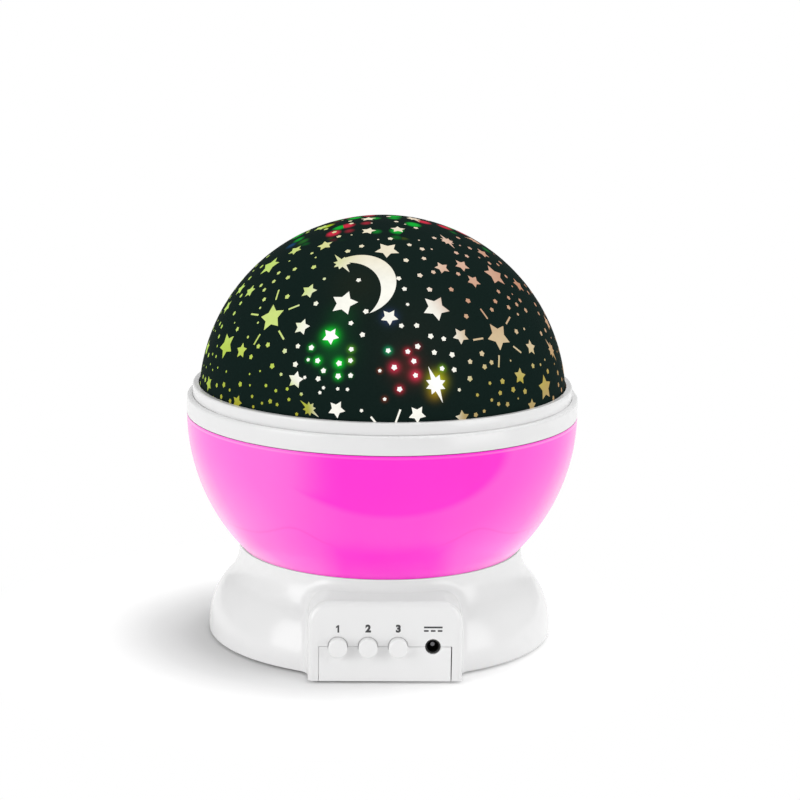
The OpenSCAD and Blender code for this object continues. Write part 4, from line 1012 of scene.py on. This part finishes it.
def text_mark(name, text, x, z, height):
    """A plain numeral on the panel's face, made a mesh before it is placed."""
    curve = bpy.data.curves.new(name, "FONT")
    curve.body = text
    curve.align_x = "CENTER"
    curve.align_y = "CENTER"
    curve.size = height / CAP_HEIGHT * MM
    curve.offset = STROKE_GAIN * MM
    curve.extrude = 0.01 * MM
    mesh = evaluated_mesh(new_object(name, curve))
    upright = Matrix.Rotation(math.pi / 2, 4, "X")
    mesh.transform(Matrix.Translation((x * MM, (PANEL_Y - 0.015) * MM, z * MM)) @ upright)
    mesh.name = name
    mesh.materials.clear()
    mesh.materials.append(MATS["ink"])
    carry(new_object(name, mesh), "base")


def make_marks():
    """The numerals over the buttons and the direct-current symbol over the socket."""
    for k, x in enumerate(BUTTONS_X[1:]):
        text_mark(f"mark_{k + 2}", str(k + 2), x, MARKS_Z, 2.2)
    one = [(0.28, -1.2), (0.28, 1.2), (-0.12, 1.2), (-0.72, 0.72), (-0.72, 0.22), (-0.24, 0.5), (-0.24, -1.2)]
    bm = bmesh.new()
    prism_into(bm, [(BUTTONS_X[0] + 0.1 + u, MARKS_Z + v) for u, v in one], PANEL_Y - 0.025, PANEL_Y + 0.02)
    carry(finish_mesh("mark_1", bm, MATS["ink"]), "base")
    bm = bmesh.new()
    y0, y1 = PANEL_Y - 0.03, PANEL_Y + 0.02
    box_into(bm, (JACK_X - 2.9, y0, MARKS_Z + 0.3), (JACK_X + 2.9, y1, MARKS_Z + 0.85))
    for x in (-2.15, 0, 2.15):
        box_into(bm, (JACK_X + x - 0.72, y0, MARKS_Z - 0.85), (JACK_X + x + 0.72, y1, MARKS_Z - 0.3))
    carry(finish_mesh("mark_direct_current", bm, MATS["ink"]), "base")


def dress_nodes():
    """Gives the carried-over inner pieces their finishes, and the plain outer ones a smoother copy."""
    finishes = {
        "steel": "base_screws bowl_screws deck_screws motor_screws tower_screws led_screws motor_shaft",
        "nickel": "contact_plates contact_springs switch_bodies motor_can",
        "black": "plunger_1 plunger_2 plunger_3 board_parts", "inner": "deck turntable light_tower",
        "foot": "feet", "cell": "battery_cells", "board": "control_board", "board_white": "led_board",
        "pin": "jack_pin", "ivory": "pinion", "grey": "gearbox", "clear": "dome_cover",
        "red_wire": "light_leads", "blue_wire": "motor_leads", "led_warm": "led_warm", "led_red": "led_red",
        "led_green": "led_green", "led_blue": "led_blue"}
    for finish, nodes in finishes.items():
        for o in (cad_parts[node] for node in nodes.split()):
            if not o.material_slots:
                o.data.materials.append(MATS[finish])
            for slot in o.material_slots:
                slot.material = MATS[finish]
    copies = [("bottom_cover", "base_cover", "cover", "base"),
              ("battery_door", "door", "cover", "battery_door"), ("dc_jack", "power_jack", "black", "base"),
              ("rim_ring", "lower_ring", "ring", "base"), ("dome_collar", "upper_ring", "ring", "dome")]
    copies += [(f"button_{k}", f"push_button_{k}", "button", f"button_{k}") for k in (1, 2, 3)]
    for node, name, finish, body in copies:
        smooth_copy(node, name, MATS[finish], body)


def make_stage():
    """A white floor with the object's soft shadow, deepened by painted shadow beside the base and lifted by
    painted light further out, see-through from below, and a white world.
    """
    bm = bmesh.new()
    bm.faces.new([bm.verts.new(p) for p in ((-6, -6, 0), (6, -6, 0), (6, 6, 0), (-6, 6, 0))])
    m, t, s = new_material("floor_white")
    where = t.where()
    path = t.add("LightPath").outputs
    camera = path["Is Camera Ray"]
    seen = t.most(camera, t.most(path["Is Glossy Ray"], path["Is Transmission Ray"]))
    # distance from the base's edge, longer on the side where the painted shadow is shorter
    gap = t.less(t.vec("LENGTH", where, out="Value"), BASE_EDGE * MM)
    toward = t.vec("DOT_PRODUCT", t.vec("NORMALIZE", where), SHORT_SHADOW_SIDE, out="Value")
    shifted = t.plus(gap, t.times(t.plus(toward, 1.0), 0.022))
    # painted shadow: a little darker right beside the base; painted light and then white further away
    tone = t.mix(t.noise(where, 4.0), (0.86, 0.86, 0.86), (0.88, 0.88, 0.88))
    dark = t.times(t.less(0.16, t.smooth(shifted, 0.0, 0.014, 0.0, 0.16)), camera)
    t.put(s, "Base Color", t.mix(dark, tone, (0, 0, 0)))
    setup(s, rough=0.6, spec=0.2)
    away = t.smooth(shifted, 0.022, 0.085)
    white = t.add("Emission", {"Color": (1, 1, 1), "Strength": 1.0})
    # painted light: emission for seen rays that grows with the distance from the base
    glow = t.times(seen, t.smooth(shifted, 0.004, 0.046, 0.0, 0.30))
    near = t.add("Emission", {"Color": (1, 1, 1), "Strength": glow})
    both = t.add("AddShader", {0: s, 1: near})
    final = t.add("MixShader", {0: t.times(away, seen), 1: both, 2: white})
    # see-through from below, and to the light on the object's underside
    under = t.times(t.math("LESS_THAN", gap, -0.006), t.less(1.0, camera))
    through = t.most(under, t.add("NewGeometry").outputs["Backfacing"])
    clear = t.add("BsdfTransparent")
    final = t.add("MixShader", {0: through, 1: final, 2: clear})
    t.put(m.node_tree.nodes["Material Output"], "Surface", final)
    finish_mesh("floor", bm, m)
    world = bpy.data.worlds.new("studio")
    world.use_nodes = True
    bpy.context.scene.world = world
    w = Tree(world.node_tree)
    path = w.add("LightPath").outputs
    seen = w.most(path["Is Camera Ray"], path["Is Transmission Ray"])
    back = world.node_tree.nodes["Background"]
    w.put(back, "Color", (1, 1, 1))
    w.put(back, "Strength", w.plus(0.55, w.times(seen, 0.45)))


def main():
    bpy.context.scene.view_settings.view_transform = "Standard"
    make_camera()
    make_stage()
    area_light("top_softbox", (0.28, 0.22, 1.05), (0, 0, 0.05), 0.75, 4.2)
    area_light("left_softbox", (-0.90, -0.54, 0.36), (0, 0, 0.07), 0.7, 4.7, 0.8)
    area_light("right_softbox", (0.90, -0.54, 0.36), (0, 0, 0.07), 0.7, 3.65, 0.8)
    make_dome()
    make_bowl()
    make_base()
    make_seam_lip()
    dress_nodes()
    make_marks()


main()
